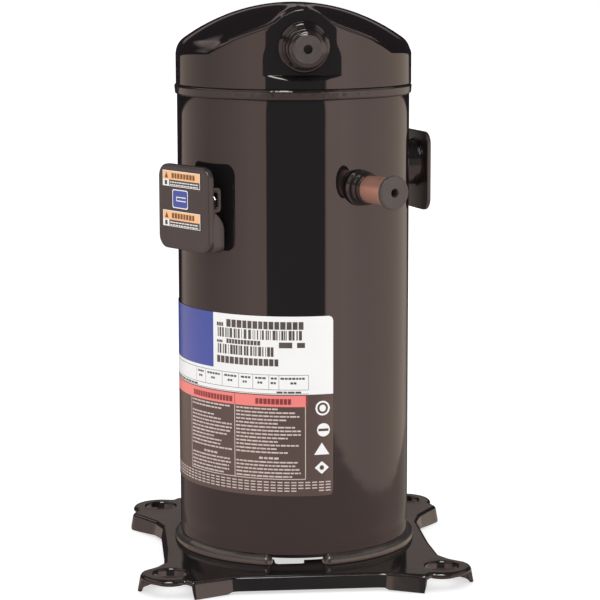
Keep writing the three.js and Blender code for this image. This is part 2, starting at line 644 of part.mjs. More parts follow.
add('fixed_scroll', cut(join(fixedBase, fixedWrap, ...ears, ...earWebs),
  disc(5.5, 290, 340, 12), ...boltHoles, ...bypassPorts), castIron);

range(4).forEach((i) => {
  const bolt = turned([
    [0, 285], [BOLT_R, 285], [BOLT_R, FIXED_BOTTOM + 11.3], [5.4, FIXED_BOTTOM + 11.3],
    [5.4, FIXED_BOTTOM + 16],
    [0, FIXED_BOTTOM + 16],
  ], TINY_SIDES);
  add(`scroll_bolt_${i + 1}`, moved(bolt, ...around(PILLAR_AZ[i], PILLAR_AT)), darkSteel);
});

// Oldham ring: lower keys along X in the housing, upper keys along Y in the orbiting scroll.
const lowerKeys = [1, -1].map((s) => box(s * 53.5 - 5, s * 53.5 + 5, -4, 4, 257, 263.5));
const upperKeys = [1, -1].map((s) => box(-4, 4, s * 53.5 - 5, s * 53.5 + 5, 265, ORBIT_BOTTOM + 5));
add('oldham_ring', join(ring(49, 58.6, HOUSING_TOP + GAP, 266.6), ...lowerKeys, ...upperKeys), aluminium);

// Floating seal in the annular chamber on the back of the fixed scroll.
add('floating_seal', turned([
  [29.6, FIXED_TOP - 1], [49.6, FIXED_TOP - 1], [49.6, FIXED_TOP + 6], [42, FIXED_TOP + 6], [42, 337.6],
  [38.5, 337.6], [38.5, FIXED_TOP + 6], [29.6, FIXED_TOP + 6], [29.6, FIXED_TOP - 1],
]), bronze);

// Capacity ring turned by the solenoid; its tab stands beside the plunger.
const RING_TAB_AZ = 131.2;
const tab = box(55, 76, -2.5, 2.5, FIXED_TOP + 1, FIXED_TOP + 11.4).rotateZ(rad(RING_TAB_AZ - 90));
add('modulation_ring', join(ring(54, 60.5, FIXED_TOP + GAP, FIXED_TOP + 7), tab), steel);

// Solenoid lying along the tangent at its own azimuth.
const COIL_AZ = 108;
const COIL_AT = 68.4;
function tangent(body, along) {
  const lying = body.clone();
  lying.rotateX(-Math.PI / 2);
  lying.rotateZ(rad(COIL_AZ - 90));
  const [x, y] = around(COIL_AZ, COIL_AT);
  const [tx, ty] = around(COIL_AZ + 90, 1);
  return moved(lying, x + tx * along, y + ty * along, FIXED_TOP + 8);
}
// After lying down, the body's own +Z points along growing azimuth.
add('solenoid_coil', tangent(ring(2.5, 6.6, -13, 13, 16), 0), copper);
add('solenoid_plunger', tangent(disc(2.1, -10, 25.2, TINY_SIDES), 0), steel);

// ---------------------------------------------------------------- discharge side

add('muffler_plate', cut(turned([
  [0, MUFFLER_Z], [48, MUFFLER_Z], [58, MUFFLER_Z - 4], [74, MUFFLER_Z - 4], [80.1, MUFFLER_Z + 1.5],
  [80.1, MUFFLER_Z + 5.5], [72, MUFFLER_Z], [58, MUFFLER_Z], [48, MUFFLER_Z + 4], [0, MUFFLER_Z + 4],
], SHELL_SIDES), disc(9, 330, 350)), darkSteel);
add('check_valve_cage', cut(turned([
  [9.5, 344.2], [17, 344.2], [17, 357], [0, 357], [0, 354.5], [14, 354.5], [14, 347],
  [9.5, 347], [9.5, 344.2],
], SMALL_SIDES), disc(4, 340, 360, TINY_SIDES)), steel);
add('check_valve_disc', disc(13, 347.4, 349.4), steel);
add('relief_valve', moved(turned([
  [0, 344.4], [7, 344.4], [7, 349], [5, 350], [5, 356], [0, 356],
], 12), 0, 34), bronze);
add('suction_baffle', sector([
  [73.2, 252], [75, 252], [75, 303], [73.2, 303],
], SUCTION_AZ - 15, SUCTION_AZ + 15, 10), darkSteel);

export default assembly;
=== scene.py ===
"""Looks for the scroll compressor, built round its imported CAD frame.

Lengths in this file are millimetres until a mesh is made, where they become metres.
+Z is up and -Y is the discharge side. An azimuth is measured round the shell from -Y towards +X.
"""

import math

import bmesh
import bpy
import numpy as np
from mathutils import Matrix, Vector


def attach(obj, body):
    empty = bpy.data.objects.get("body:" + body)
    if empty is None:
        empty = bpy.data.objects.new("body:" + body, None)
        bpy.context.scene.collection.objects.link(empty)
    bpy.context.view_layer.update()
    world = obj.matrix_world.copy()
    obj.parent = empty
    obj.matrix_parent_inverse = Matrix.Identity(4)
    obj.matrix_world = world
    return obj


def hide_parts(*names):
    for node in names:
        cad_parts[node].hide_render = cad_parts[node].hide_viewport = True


MM = 0.001

# ---------------------------------------------------------------- sizes shared with the CAD

PLATE_TOP = 12.5
PLATE_THICK = 3.2
MOUNT = 95.25
FOOT_R = 21.0
SHELL_R = 83.3
CAP_R = 84.0
SHELL_TOP = 338.5
CAP_BOTTOM = 346.3
CAP_APEX = 403.2
DOME_R = 134.0
SHELL_IN = 80.1
KNUCKLE_R = 16.0
SKIRT_Z = 19.1
SHELL_BOTTOM = PLATE_TOP + KNUCKLE_R
BOSS_FACE = 81.0
DISCHARGE_Z = 374.5
DISCHARGE_TIP = 111.0
SUCTION_AZ = 28.0
SUCTION_Z = 277.6
SUCTION_TIP = 125.5
POWER_AZ = -55.7
POWER_Z = 262.5
SOLENOID_AZ = 105.0
SOLENOID_Z = 285.2
COVER_FACE = 98.5
NECK_R = 16.8
# Face plates: width, height, thickness, and how far the plate centre is beside and below the neck.
MOTOR_PLUG = (58.2, 59.5, 5.0, -1.3, 0.0)
SOLENOID_PLUG = (50.0, 57.2, 3.6, 1.5, 5.0)
LABEL_R = SHELL_R + 0.3
LABEL_AZ = (-112.0, 13.9)
LABEL_Z = (62.0, 189.5)

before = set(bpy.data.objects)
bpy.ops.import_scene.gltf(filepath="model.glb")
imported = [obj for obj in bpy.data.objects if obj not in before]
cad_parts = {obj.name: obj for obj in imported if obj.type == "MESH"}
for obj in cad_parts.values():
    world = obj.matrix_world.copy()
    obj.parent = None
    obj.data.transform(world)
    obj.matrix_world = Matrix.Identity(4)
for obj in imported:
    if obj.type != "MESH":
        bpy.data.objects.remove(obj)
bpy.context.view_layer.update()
rng = np.random.default_rng(7)

# ---------------------------------------------------------------- camera

CAMERA_AZ = -5.258
CAMERA_DISTANCE = 1622.3
CAMERA_HEIGHT = 447.47
CAMERA_PITCH = 9.093
CAMERA_ROLL = -0.129
CAMERA_LENS = 135.43
CAMERA_SHIFT_X = 0.0108


def make_camera():
    az = math.radians(CAMERA_AZ)
    pitch = math.radians(CAMERA_PITCH)
    roll = math.radians(CAMERA_ROLL)
    forward = Vector((-math.sin(az) * math.cos(pitch), math.cos(az) * math.cos(pitch), -math.sin(pitch)))
    level = Vector((math.cos(az), math.sin(az), 0))
    upright = level.cross(forward)
    right = level * math.cos(roll) + upright * math.sin(roll)
    up = upright * math.cos(roll) - level * math.sin(roll)
    turn = Matrix((right, up, -forward)).transposed().to_4x4()
    data = bpy.data.cameras.new("camera")
    data.lens = CAMERA_LENS
    data.sensor_width = 36
    data.shift_x = CAMERA_SHIFT_X
    data.clip_end = 50
    camera = bpy.data.objects.new("camera", data)
    place = Vector((math.sin(az) * CAMERA_DISTANCE, -math.cos(az) * CAMERA_DISTANCE, CAMERA_HEIGHT)) * MM
    camera.matrix_world = Matrix.Translation(place) @ turn
    bpy.context.scene.collection.objects.link(camera)
    bpy.context.scene.camera = camera


make_camera()

# ---------------------------------------------------------------- node helpers


class Nodes:
    """Short calls for building a node tree."""

    def __init__(self, tree):
        self.tree = tree
        tree.nodes.clear()

    def add(self, kind, **settings):
        node = self.tree.nodes.new(kind)
        for name, value in settings.items():
            setattr(node, name, value)
        return node

    def link(self, source, target):
        self.tree.links.new(source, target)

    def feed(self, socket, value):
        if isinstance(value, bpy.types.NodeSocket):
            self.link(value, socket)
        else:
            socket.default_value = value

    def math(self, operation, a, b=0.0, c=0.0):
        node = self.add("ShaderNodeMath", operation=operation)
        for socket, value in zip(node.inputs, (a, b, c)):
            self.feed(socket, value)
        return node.outputs[0]

    def ramp(self, value, stops, interpolation="LINEAR"):
        node = self.add("ShaderNodeValToRGB")
        node.color_ramp.interpolation = interpolation
        points = node.color_ramp.elements
        while len(points) < len(stops):
            points.new(0.5)
        for point, (place, color) in zip(points, stops):
            point.position = place
            point.color = (*color, 1) if len(color) == 3 else color
        self.feed(node.inputs[0], value)
        return node.outputs[0]

    def mix(self, amount, a, b):
        node = self.add("ShaderNodeMix", data_type="RGBA")
        self.feed(node.inputs[0], amount)
        for socket, value in ((node.inputs[6], a), (node.inputs[7], b)):
            self.feed(socket, value if isinstance(value, bpy.types.NodeSocket) else (*value, 1))
        return node.outputs[2]

    def noise(self, scale, detail=2.0, stretch=(1, 1, 1), rough=0.5):
        place = self.add("ShaderNodeTexCoord")
        mapping = self.add("ShaderNodeMapping")
        mapping.inputs["Scale"].default_value = stretch
        self.link(place.outputs["Object"], mapping.inputs[0])
        node = self.add("ShaderNodeTexNoise")
        node.inputs["Scale"].default_value = scale
        node.inputs["Detail"].default_value = detail
        node.inputs["Roughness"].default_value = rough
        self.link(mapping.outputs[0], node.inputs["Vector"])
        return node.outputs["Fac"]

    def bump(self, height, strength, distance):
        node = self.add("ShaderNodeBump")
        node.inputs["Strength"].default_value = strength
        node.inputs["Distance"].default_value = distance
        self.link(height, node.inputs["Height"])
        return node.outputs[0]


# ---------------------------------------------------------------- world and floor

# Radiance that glossy paint sees round the studio at eye level: azimuth, then red, green, blue.
PANELS = (
    (-180, 0.03, 0.025, 0.022), (-165, 0.09, 0.072, 0.062), (-158, 0.16, 0.13, 0.11),
    (-152, 0.50, 0.40, 0.34),
    (-147, 0.76, 0.61, 0.53), (-127, 0.84, 0.64, 0.55), (-96, 0.98, 0.70, 0.66), (-71, 1.38, 1.00, 0.90),
    (-49, 1.75, 1.28, 1.12), (-32, 1.85, 1.35, 1.15), (-31, 0.20, 0.18, 0.20), (26, 0.20, 0.18, 0.20),
    (27, 2.35, 1.68, 1.50), (47, 2.30, 1.75, 1.52), (64, 2.00, 1.50, 1.33), (83, 1.75, 1.32, 1.16),
    (107, 1.32, 1.02, 0.82), (123, 1.04, 0.84, 0.67), (140, 0.85, 0.71, 0.60), (149, 0.55, 0.46, 0.39),
    (156, 0.14, 0.12, 0.10), (163, 0.08, 0.065, 0.055), (180, 0.03, 0.025, 0.022),
)
# The same below the panels: dark floor round the object.
FLOOR_TONES = (
    (-180, 0.03, 0.024, 0.022), (-158, 0.12, 0.10, 0.09), (-150, 0.36, 0.28, 0.24), (-110, 0.80, 0.56, 0.52),
    (-60, 1.08, 0.74, 0.68), (60, 1.08, 0.74, 0.68), (100, 0.88, 0.62, 0.56), (125, 0.52, 0.38, 0.33),
    (150, 0.38, 0.32, 0.28), (160, 0.12, 0.10, 0.09), (180, 0.03, 0.024, 0.022),
)
PANEL_TOP = 20.0                # elevation where the side panels end
PANEL_FALL = 0.5                # how fast that edge drops behind the object
BACK_BAND = ((12.8, 17.2), (0.34, 0.28, 0.25))
CEILING = (0.10, 0.075, 0.085)
BACK_CEILING = (0.022, 0.016, 0.022)
# Bright patches: azimuths, elevations, radiance, softness of the edge in degrees.
LIGHTS = (
    ((-155.0, -40.0), (30.0, 64.0), (1.0, 0.80, 0.76), 8.0),
    ((40.0, 125.0), (30.0, 52.0), (0.9, 0.72, 0.67), 6.0),
    ((-30.0, 8.0), (42.0, 80.0), (12.0, 11.5, 10.8), 1.5),
)
BRIGHTEST = 4.0                 # ramp colours are kept below one by dividing by this


def make_world():
    world = bpy.data.worlds.new("studio")
    bpy.context.scene.world = world
    world.use_nodes = True
    n = Nodes(world.node_tree)
    direction = n.add("ShaderNodeTexCoord").outputs["Generated"]
    axes = n.add("ShaderNodeSeparateXYZ")
    n.link(direction, axes.inputs[0])
    x, y, z = axes.outputs
    azimuth = n.math("ARCTAN2", x, n.math("MULTIPLY", y, -1.0))
    turn = n.math("MULTIPLY_ADD", azimuth, 0.5 / math.pi, 0.5)
    degrees = n.math("MULTIPLY", n.math("ARCSINE", z), 180 / math.pi)
    round_degrees = n.math("MULTIPLY", azimuth, 180 / math.pi)
    aside = n.math("ABSOLUTE", round_degrees)

    def dim(color):
        return tuple(c / BRIGHTEST for c in color)

    def tones(table):
        return n.ramp(turn, [((az + 180) / 360, dim(color)) for az, *color in table])

    def step_up(value, edge, width):
        """0 below the edge, 1 above it."""
        return n.math("MINIMUM", n.math("MAXIMUM", n.math("MULTIPLY_ADD", n.math("SUBTRACT", value, edge),
                                                          1 / width, 0.5), 0.0), 1.0)

    def between(value, low_edge, high_edge, width):
        return n.math("SUBTRACT", step_up(value, low_edge, width), step_up(value, high_edge, width))

    sides = tones(PANELS)
    low = tones(FLOOR_TONES)
    # the lower edge of the panels sags in the middle of each side
    off = n.math("SUBTRACT", aside, 88.0)
    sag = n.math("MULTIPLY_ADD", n.math("MULTIPLY", off, off), 0.00047, -14.0)
    above_floor = n.math("SMOOTH_MIN", 1.0, n.math("MULTIPLY", n.math("SUBTRACT", degrees, sag), 6.0), 0.05)
    above_floor = n.math("MAXIMUM", above_floor, 0.0)
    color = n.mix(above_floor, low, sides)
    past_side = n.math("MAXIMUM", n.math("SUBTRACT", aside, 100.0), 0.0)
    panel_top = n.math("SUBTRACT", PANEL_TOP, n.math("MULTIPLY", past_side, PANEL_FALL))
    above = n.mix(step_up(aside, 95.0, 50.0), dim(CEILING), dim(BACK_CEILING))
    color = n.mix(step_up(degrees, panel_top, 2.5), color, above)
    behind = n.math("MULTIPLY", step_up(aside, 160.0, 8.0), between(degrees, *BACK_BAND[0], 2.0))
    color = n.mix(behind, color, dim(BACK_BAND[1]))
    for azimuths, elevations, radiance, soft in LIGHTS:
        patch = n.math("MULTIPLY", between(degrees, *elevations, soft),
                       between(round_degrees, *azimuths, soft))
        color = n.mix(patch, color, dim(radiance))
    seen = n.add("ShaderNodeBackground")
    n.link(color, seen.inputs[0])
    seen.inputs[1].default_value = BRIGHTEST
    # soft white light for everything that is not a mirror, a little stronger from above
    fill = n.add("ShaderNodeBackground")
    n.link(n.ramp(n.math("MULTIPLY_ADD", z, 0.5, 0.5), [(0.0, (0.5, 0.5, 0.5)), (0.5, (0.78, 0.78, 0.78)),
                                                      (1.0, (1, 1, 1))]), fill.inputs[0])
    fill.inputs[1].default_value = 1.25
    white = n.add("ShaderNodeBackground")
    white.inputs[0].default_value = (1, 1, 1, 1)
    white.inputs[1].default_value = 1.0
    path = n.add("ShaderNodeLightPath")
    first = n.add("ShaderNodeMixShader")
    n.link(path.outputs["Is Glossy Ray"], first.inputs[0])
    n.link(fill.outputs[0], first.inputs[1])
    n.link(seen.outputs[0], first.inputs[2])
    second = n.add("ShaderNodeMixShader")
    n.link(path.outputs["Is Camera Ray"], second.inputs[0])
    n.link(first.outputs[0], second.inputs[1])
    n.link(white.outputs[0], second.inputs[2])
    out = n.add("ShaderNodeOutputWorld")
    n.link(second.outputs[0], out.inputs[0])


def make_floor():
    data = bpy.data.meshes.new("floor")
    half = 12.0
    corners = [(-half, -half, 0), (half, -half, 0), (half, half, 0), (-half, half, 0)]
    data.from_pydata(corners, [], [(0, 1, 2, 3)])
    floor = bpy.data.objects.new("floor", data)
    bpy.context.scene.collection.objects.link(floor)
    material = bpy.data.materials.new("floor")
    material.use_nodes = True
    n = Nodes(material.node_tree)
    matte = n.add("ShaderNodeBsdfDiffuse")
    matte.inputs[0].default_value = (0.5, 0.5, 0.5, 1)
    glow = n.add("ShaderNodeEmission")
    glow.inputs[1].default_value = 0.62
    total = n.add("ShaderNodeAddShader")
    n.link(matte.outputs[0], total.inputs[0])
    n.link(glow.outputs[0], total.inputs[1])
    out = n.add("ShaderNodeOutputMaterial")
    n.link(total.outputs[0], out.inputs[0])
    data.materials.append(material)
    floor.visible_glossy = False


make_world()
make_floor()
bpy.context.scene.view_settings.view_transform = "Standard"

# ---------------------------------------------------------------- materials


def material(name, color, rough, metal=0.0, color_2=None, patch=6.0, rough_spread=0.08, bump=0.0,
             bump_scale=400.0, stretch=(1, 1, 1), ior=1.5, coat=0.0, coat_rough=0.05, detail=3.0,
             peel=0.0, peel_scale=90.0):
    """Two colours mixed by a slow noise, roughness that drifts, and fine relief."""
    made = bpy.data.materials.new(name)
    made.use_nodes = True
    n = Nodes(made.node_tree)
    shader = n.add("ShaderNodeBsdfPrincipled")
    slow = n.noise(patch, 4.0)
    fine = n.noise(bump_scale, detail, stretch)
    second = color_2 or tuple(c * 0.7 for c in color)
    tint = n.mix(n.ramp(slow, [(0.35, (0, 0, 0)), (0.7, (1, 1, 1))]), color, second)
    n.link(tint, shader.inputs["Base Color"])
    drift = n.math("MULTIPLY_ADD", slow, rough_spread * 2, rough - rough_spread)
    n.link(n.math("MAXIMUM", drift, 0.02), shader.inputs["Roughness"])
    shader.inputs["Metallic"].default_value = metal
    shader.inputs["IOR"].default_value = ior
    shader.inputs["Coat Weight"].default_value = coat
    shader.inputs["Coat Roughness"].default_value = coat_rough
    normal = None
    if bump:
        normal = n.bump(fine, bump, 0.0004)
    if peel:
        wave = n.add("ShaderNodeBump")
        wave.inputs["Strength"].default_value = peel
        wave.inputs["Distance"].default_value = 0.0005
        n.link(n.noise(peel_scale, 1.0), wave.inputs["Height"])
        if normal:
            n.link(normal, wave.inputs["Normal"])
        normal = wave.outputs[0]
    if normal:
        n.link(normal, shader.inputs["Normal"])
    out = n.add("ShaderNodeOutputMaterial")
    n.link(shader.outputs[0], out.inputs[0])
    return made


PAINT = material("black_paint", (0.0085, 0.0072, 0.0078), 0.035, color_2=(0.0105, 0.0088, 0.0088),
                 rough_spread=0.012, patch=9.0, peel=0.05, peel_scale=55.0)
BEAD_PAINT = material("black_paint_on_bead", (0.014, 0.012, 0.012), 0.12, color_2=(0.018, 0.016, 0.015),
                      rough_spread=0.04, patch=60.0, bump=0.12, bump_scale=260.0)
# Lower weld paint: its warm brown base colour is a painted reflection of the bright studio panels, standing
# in for what black paint would mirror.
WELD_PAINT_WITH_PAINTED_REFLECTION = material("black_paint_on_weld_with_painted_reflection", (0.034, 0.029, 0.026), 0.32, color_2=(0.042, 0.038, 0.033),
                      rough_spread=0.05, patch=60.0, bump=0.15, bump_scale=260.0, coat=0.35, coat_rough=0.06)
PLATE_PAINT = material("black_paint_on_plate", (0.011, 0.0095, 0.0095), 0.10, color_2=(0.017, 0.0145, 0.0135),
                       rough_spread=0.05, patch=22.0, peel=0.12, peel_scale=60.0)
PLASTIC = material("moulded_plastic", (0.030, 0.024, 0.024), 0.32, color_2=(0.036, 0.030, 0.029),
                   rough_spread=0.04, patch=40.0, bump=0.22, bump_scale=1500.0)
GLOSS_PLASTIC = material("moulded_neck", (0.014, 0.012, 0.013), 0.12, color_2=(0.018, 0.015, 0.016),
                         rough_spread=0.04, patch=50.0, peel=0.08)
RUBBER = material("grey_rubber", (0.050, 0.042, 0.040), 0.5, color_2=(0.062, 0.053, 0.050), patch=120.0,
                  bump=0.3, bump_scale=900.0)
COPPER = material("copper_tube", (0.92, 0.54, 0.41), 0.30, metal=0.78, color_2=(0.80, 0.38, 0.28), patch=70.0,
                  rough_spread=0.05, bump=0.12, bump_scale=300.0, stretch=(1, 1, 12))
STEEL = material("turned_steel", (0.30, 0.28, 0.27), 0.22, metal=1.0, color_2=(0.22, 0.20, 0.20), patch=60.0,
                 bump=0.15, bump_scale=500.0)
STEEL_PAINTED = material("painted_steel_collar", (0.05, 0.045, 0.045), 0.12, metal=0.6,
                         color_2=(0.03, 0.026, 0.026), patch=80.0, rough_spread=0.05, peel=0.1,
                         peel_scale=150.0)
WHITE_PRINT = material("white_print", (0.86, 0.86, 0.85), 0.35, color_2=(0.80, 0.80, 0.79), patch=12.0)
BLUE_PRINT = material("blue_print", (0.045, 0.075, 0.33), 0.25, color_2=(0.040, 0.068, 0.30), patch=15.0)
HEADER_PRINT = material("header_print", (0.86, 0.22, 0.20), 0.35, color_2=(0.80, 0.20, 0.18), patch=15.0)
HEADER_INK = material("header_ink", (0.30, 0.035, 0.035), 0.4, patch=15.0)
DARK_FILM = material("dark_film", (0.080, 0.052, 0.044), 0.30, color_2=(0.074, 0.048, 0.041), patch=15.0)
PALE_PRINT = material("pale_print", (0.60, 0.50, 0.46), 0.4, color_2=(0.52, 0.43, 0.40), patch=200.0)
INK = material("dark_ink", (0.055, 0.045, 0.042), 0.4, color_2=(0.09, 0.075, 0.07), patch=150.0)
ORANGE_PRINT = material("orange_print", (0.90, 0.50, 0.24), 0.4, color_2=(0.84, 0.45, 0.21), patch=30.0)
ORANGE_INK = material("orange_ink", (0.20, 0.075, 0.02), 0.4, patch=60.0)

IRON = material("cast_iron", (0.17, 0.17, 0.175), 0.6, metal=0.85, color_2=(0.10, 0.10, 0.105), patch=45.0,
                bump=0.5, bump_scale=700.0)
DARK_STEEL = material("pressed_steel", (0.16, 0.165, 0.175), 0.42, metal=0.9, color_2=(0.10, 0.10, 0.11),
                      patch=30.0, bump=0.2, bump_scale=400.0)
BRIGHT_STEEL = material("ground_steel", (0.55, 0.55, 0.56), 0.24, metal=1.0, color_2=(0.45, 0.45, 0.47),
                        patch=50.0, bump=0.18, bump_scale=300.0, stretch=(1, 1, 25))
ALUMINIUM = material("cast_aluminium", (0.60, 0.61, 0.63), 0.42, metal=0.95, color_2=(0.45, 0.46, 0.48),
                     patch=40.0, bump=0.35, bump_scale=600.0)
BRONZE = material("bronze", (0.55, 0.36, 0.16), 0.35, metal=1.0, color_2=(0.42, 0.26, 0.11), patch=60.0,
                  bump=0.2, bump_scale=500.0)
LAMINATIONS = material("laminations", (0.22, 0.225, 0.24), 0.45, metal=0.8, color_2=(0.12, 0.125, 0.135),
                       patch=20.0, bump=0.9, bump_scale=60.0, stretch=(0.4, 0.4, 40), detail=1.0)
WINDING = material("enamelled_wire", (0.50, 0.20, 0.07), 0.28, metal=0.75, color_2=(0.32, 0.11, 0.04),
                   patch=30.0, bump=0.9, bump_scale=120.0, stretch=(1, 1, 6), detail=1.0)
BOARD = material("thermal_protector", (0.30, 0.22, 0.14), 0.5, color_2=(0.20, 0.15, 0.10), patch=50.0,
                 bump=0.3, bump_scale=500.0)

# CAD nodes that are shown as they are, grouped by material.
NODE_LOOKS = (
    (STEEL, ("motor_terminal_body", "solenoid_terminal_body", "check_valve_cage")),
    (BRIGHT_STEEL, ("motor_terminal_pin_1", "motor_terminal_pin_2", "motor_terminal_pin_3",
        "solenoid_terminal_pin_1", "solenoid_terminal_pin_2", "crankshaft", "drive_bush",
        "modulation_ring", "solenoid_plunger", "check_valve_disc")),
    (COPPER, ("discharge_tube",)),
    (LAMINATIONS, ("stator_core", "rotor_core")),
    (WINDING, ("stator_winding_upper", "stator_winding_lower", "solenoid_coil")),
    (BOARD, ("motor_protector",)),
    (ALUMINIUM, ("rotor_end_ring_upper", "rotor_end_ring_lower", "oldham_ring")),
    (BRONZE, ("counterweight_upper", "counterweight_lower", "main_bushing", "lower_bushing",
        "orbiting_bearing", "floating_seal", "relief_valve")),
    (DARK_STEEL, ("oil_pickup", "lower_bearing_bracket", "oil_magnet", "scroll_bolt_1", "scroll_bolt_2",
        "scroll_bolt_3", "scroll_bolt_4", "muffler_plate", "suction_baffle")),
    (IRON, ("main_bearing_housing", "orbiting_scroll", "fixed_scroll")),
)
for look, node_names in NODE_LOOKS:
    for node_name in node_names:
        node_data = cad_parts[node_name].data
        node_data.materials.clear()
        node_data.materials.append(look)

# ---------------------------------------------------------------- mesh helpers


def around(az, r):
    return r * math.sin(math.radians(az)), -r * math.cos(math.radians(az))


class Shape:
    """Collects vertices and faces in millimetres, each face with a material number."""

    def __init__(self):
        self.points = []
        self.faces = []
        self.marks = []

    def grid(self, rows, close_rows=False, close_columns=False, mark=0):
        """Quads over a list of equally long rows of points."""
        start = len(self.points)
        count, width = len(rows), len(rows[0])
        for row in rows:
            self.points.extend(tuple(p) for p in row)
        for i in range(count if close_rows else count - 1):
            for k in range(width if close_columns else width - 1):
                a = start + i * width + k
                b = start + i * width + (k + 1) % width
                c = start + (i + 1) % count * width + (k + 1) % width
                d = start + (i + 1) % count * width + k
                self.faces.append((a, b, c, d))
                self.marks.append(mark)

    def polygon(self, outline, mark=0):
        start = len(self.points)
        self.points.extend(tuple(p) for p in outline)
        self.faces.append(tuple(range(start, start + len(outline))))
        self.marks.append(mark)

    def turned(self, profile, place=None, segments=96, mark=0, closed=False):
        """Profile of (radius, along) turned round an axis; place maps (x, y, along) to the object."""
        rows = []
        for i in range(segments):
            a = 2 * math.pi * i / segments
            rows.append([(r * math.cos(a), r * math.sin(a), h) for r, h in profile])
        if place:
            rows = [[place(*p) for p in row] for row in rows]
        self.grid(rows, close_rows=True, close_columns=closed, mark=mark)

    def build(self, name, materials, body, replaces=(), slot=None, flat=False, weld=1e-6, recalc=True):
        data = bpy.data.meshes.new(name)
        data.from_pydata([tuple(c * MM for c in p) for p in self.points], [], self.faces)
        for m in materials:
            data.materials.append(m)
        data.polygons.foreach_set("material_index", self.marks)
        bm = bmesh.new()
        bm.from_mesh(data)
        bmesh.ops.remove_doubles(bm, verts=bm.verts, dist=weld)
        bmesh.ops.dissolve_degenerate(bm, edges=bm.edges, dist=1e-7)
        if recalc:
            bmesh.ops.recalc_face_normals(bm, faces=bm.faces)
        for face in bm.faces:
            face.smooth = not flat
        bm.to_mesh(data)
        bm.free()
        piece = bpy.data.objects.new(name, data)
        bpy.context.scene.collection.objects.link(piece)
        if not flat:
            weighted = piece.modifiers.new("even_shading", "WEIGHTED_NORMAL")
            weighted.weight = 60
        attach(piece, body)
        if replaces:
            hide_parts(*replaces)
        return piece


def soften(points, radius, steps=3, closed=False):
    """Rounds the corners of a line of points."""
    out = []
    count = len(points)
    for i, p in enumerate(points):
        if not closed and i in (0, count - 1):
            out.append(tuple(p))
            continue
        p = Vector(p)
        to_a = Vector(points[i - 1]) - p
        to_b = Vector(points[(i + 1) % count]) - p
        r = min(radius, 0.45 * to_a.length, 0.45 * to_b.length)
        start = p + to_a.normalized() * r
        end = p + to_b.normalized() * r
        for k in range(steps + 1):
            t = k / steps
            out.append(tuple((1 - t) ** 2 * start + 2 * t * (1 - t) * p + t * t * end))
    return out


def facing(az, z):
    """Place function: x runs sideways, y up and the third number outwards, at an azimuth and height."""
    nx, ny = around(az, 1)

    def place(x, y, out):
        return -ny * x + nx * out, nx * x + ny * out, z + y
    return place


def arc(cx, cz, r, start, end, steps):
    return [(cx + r * math.cos(math.radians(start + (end - start) * i / steps)),
             cz + r * math.sin(math.radians(start + (end - start) * i / steps))) for i in range(steps + 1)]


# ---------------------------------------------------------------- pressure shell

SHELL_STEPS = 288


def shell_and_lower_cap():
    knuckle_x = SHELL_IN - KNUCKLE_R
    recess = -math.degrees(math.asin((SHELL_BOTTOM - SKIRT_Z) / KNUCKLE_R))
    cap = Shape()
    cap.turned(
        [(0, PLATE_TOP - 6), (18, PLATE_TOP - 5.6), (36, PLATE_TOP - 4.2), (54, PLATE_TOP - 1.9)]
        + arc(knuckle_x, SHELL_BOTTOM, KNUCKLE_R, -84, recess, 10)
        + [(SHELL_R - 0.6, SKIRT_Z), (SHELL_R, SKIRT_Z + 0.6), (SHELL_R, SHELL_BOTTOM - 0.15)],
        segments=SHELL_STEPS)
    cap.turned([(SHELL_R - 3.5, SHELL_BOTTOM - 0.3), (SHELL_R - 3.5, SHELL_BOTTOM + 20),
                (SHELL_R - 6.7, SHELL_BOTTOM + 20), (SHELL_R - 6.7, SHELL_BOTTOM)]
               + arc(knuckle_x, SHELL_BOTTOM, KNUCKLE_R - 3.5, -4, -84, 8)
               + [(36, PLATE_TOP - 1), (0, PLATE_TOP - 2.8)], segments=96)
    cap.build("lower_cap_skin", [PAINT], "shell", ["lower_cap"], "black_paint", recalc=False)
    tube = Shape()
    low_z = SHELL_BOTTOM - 0.15
    outer = [(SHELL_R, low_z + (SHELL_TOP - low_z) * i / 24) for i in range(25)]
    inner_r = SHELL_R - 3.2
    tube.turned([(inner_r, SHELL_BOTTOM), (inner_r + 0.2, low_z)] + outer
                + [(inner_r + 0.2, SHELL_TOP), (inner_r, SHELL_TOP), (inner_r, SHELL_BOTTOM)],
                segments=SHELL_STEPS)
    tube.build("centre_shell_skin", [PAINT], "shell", ["centre_shell"], "black_paint")


def upper_weld():
    """Weld between shell and top cap: a bead with uneven ripples."""
    segments = 720
    heights = np.linspace(0, 1, 21)
    phase = rng.uniform(0, 2 * math.pi, 6)
    rows = []
    for i in range(segments):
        az = 360 * i / segments
        a = math.radians(az)
        wave = sum(math.sin(a * k + phase[j]) for j, k in enumerate((57, 91, 133, 171))) / 4
        slow = sum(math.sin(a * k + phase[j + 2]) for j, k in enumerate((3, 7, 11, 17))) / 4
        row = [(*around(az, SHELL_R - 3), SHELL_TOP)]
        for t in heights:
            z = SHELL_TOP + t * (CAP_BOTTOM - SHELL_TOP)
            crown = min(1, t / 0.12, (1 - t) / 0.30)
            crown = crown * crown * (3 - 2 * crown)
            r = SHELL_R + 0.7 * t + (1.25 + 0.10 * slow + 0.08 * wave * math.sin(2 * math.pi * t)) * crown
            row.append((*around(az, r), z + 0.15 * slow * crown))
        row.append((*around(az, SHELL_R - 3), CAP_BOTTOM))
        rows.append(row)
    weld = Shape()
    weld.grid(rows, close_rows=True, close_columns=True)
    weld.build("upper_weld_bead", [BEAD_PAINT], "shell", ["shell_weld"], "black_paint")


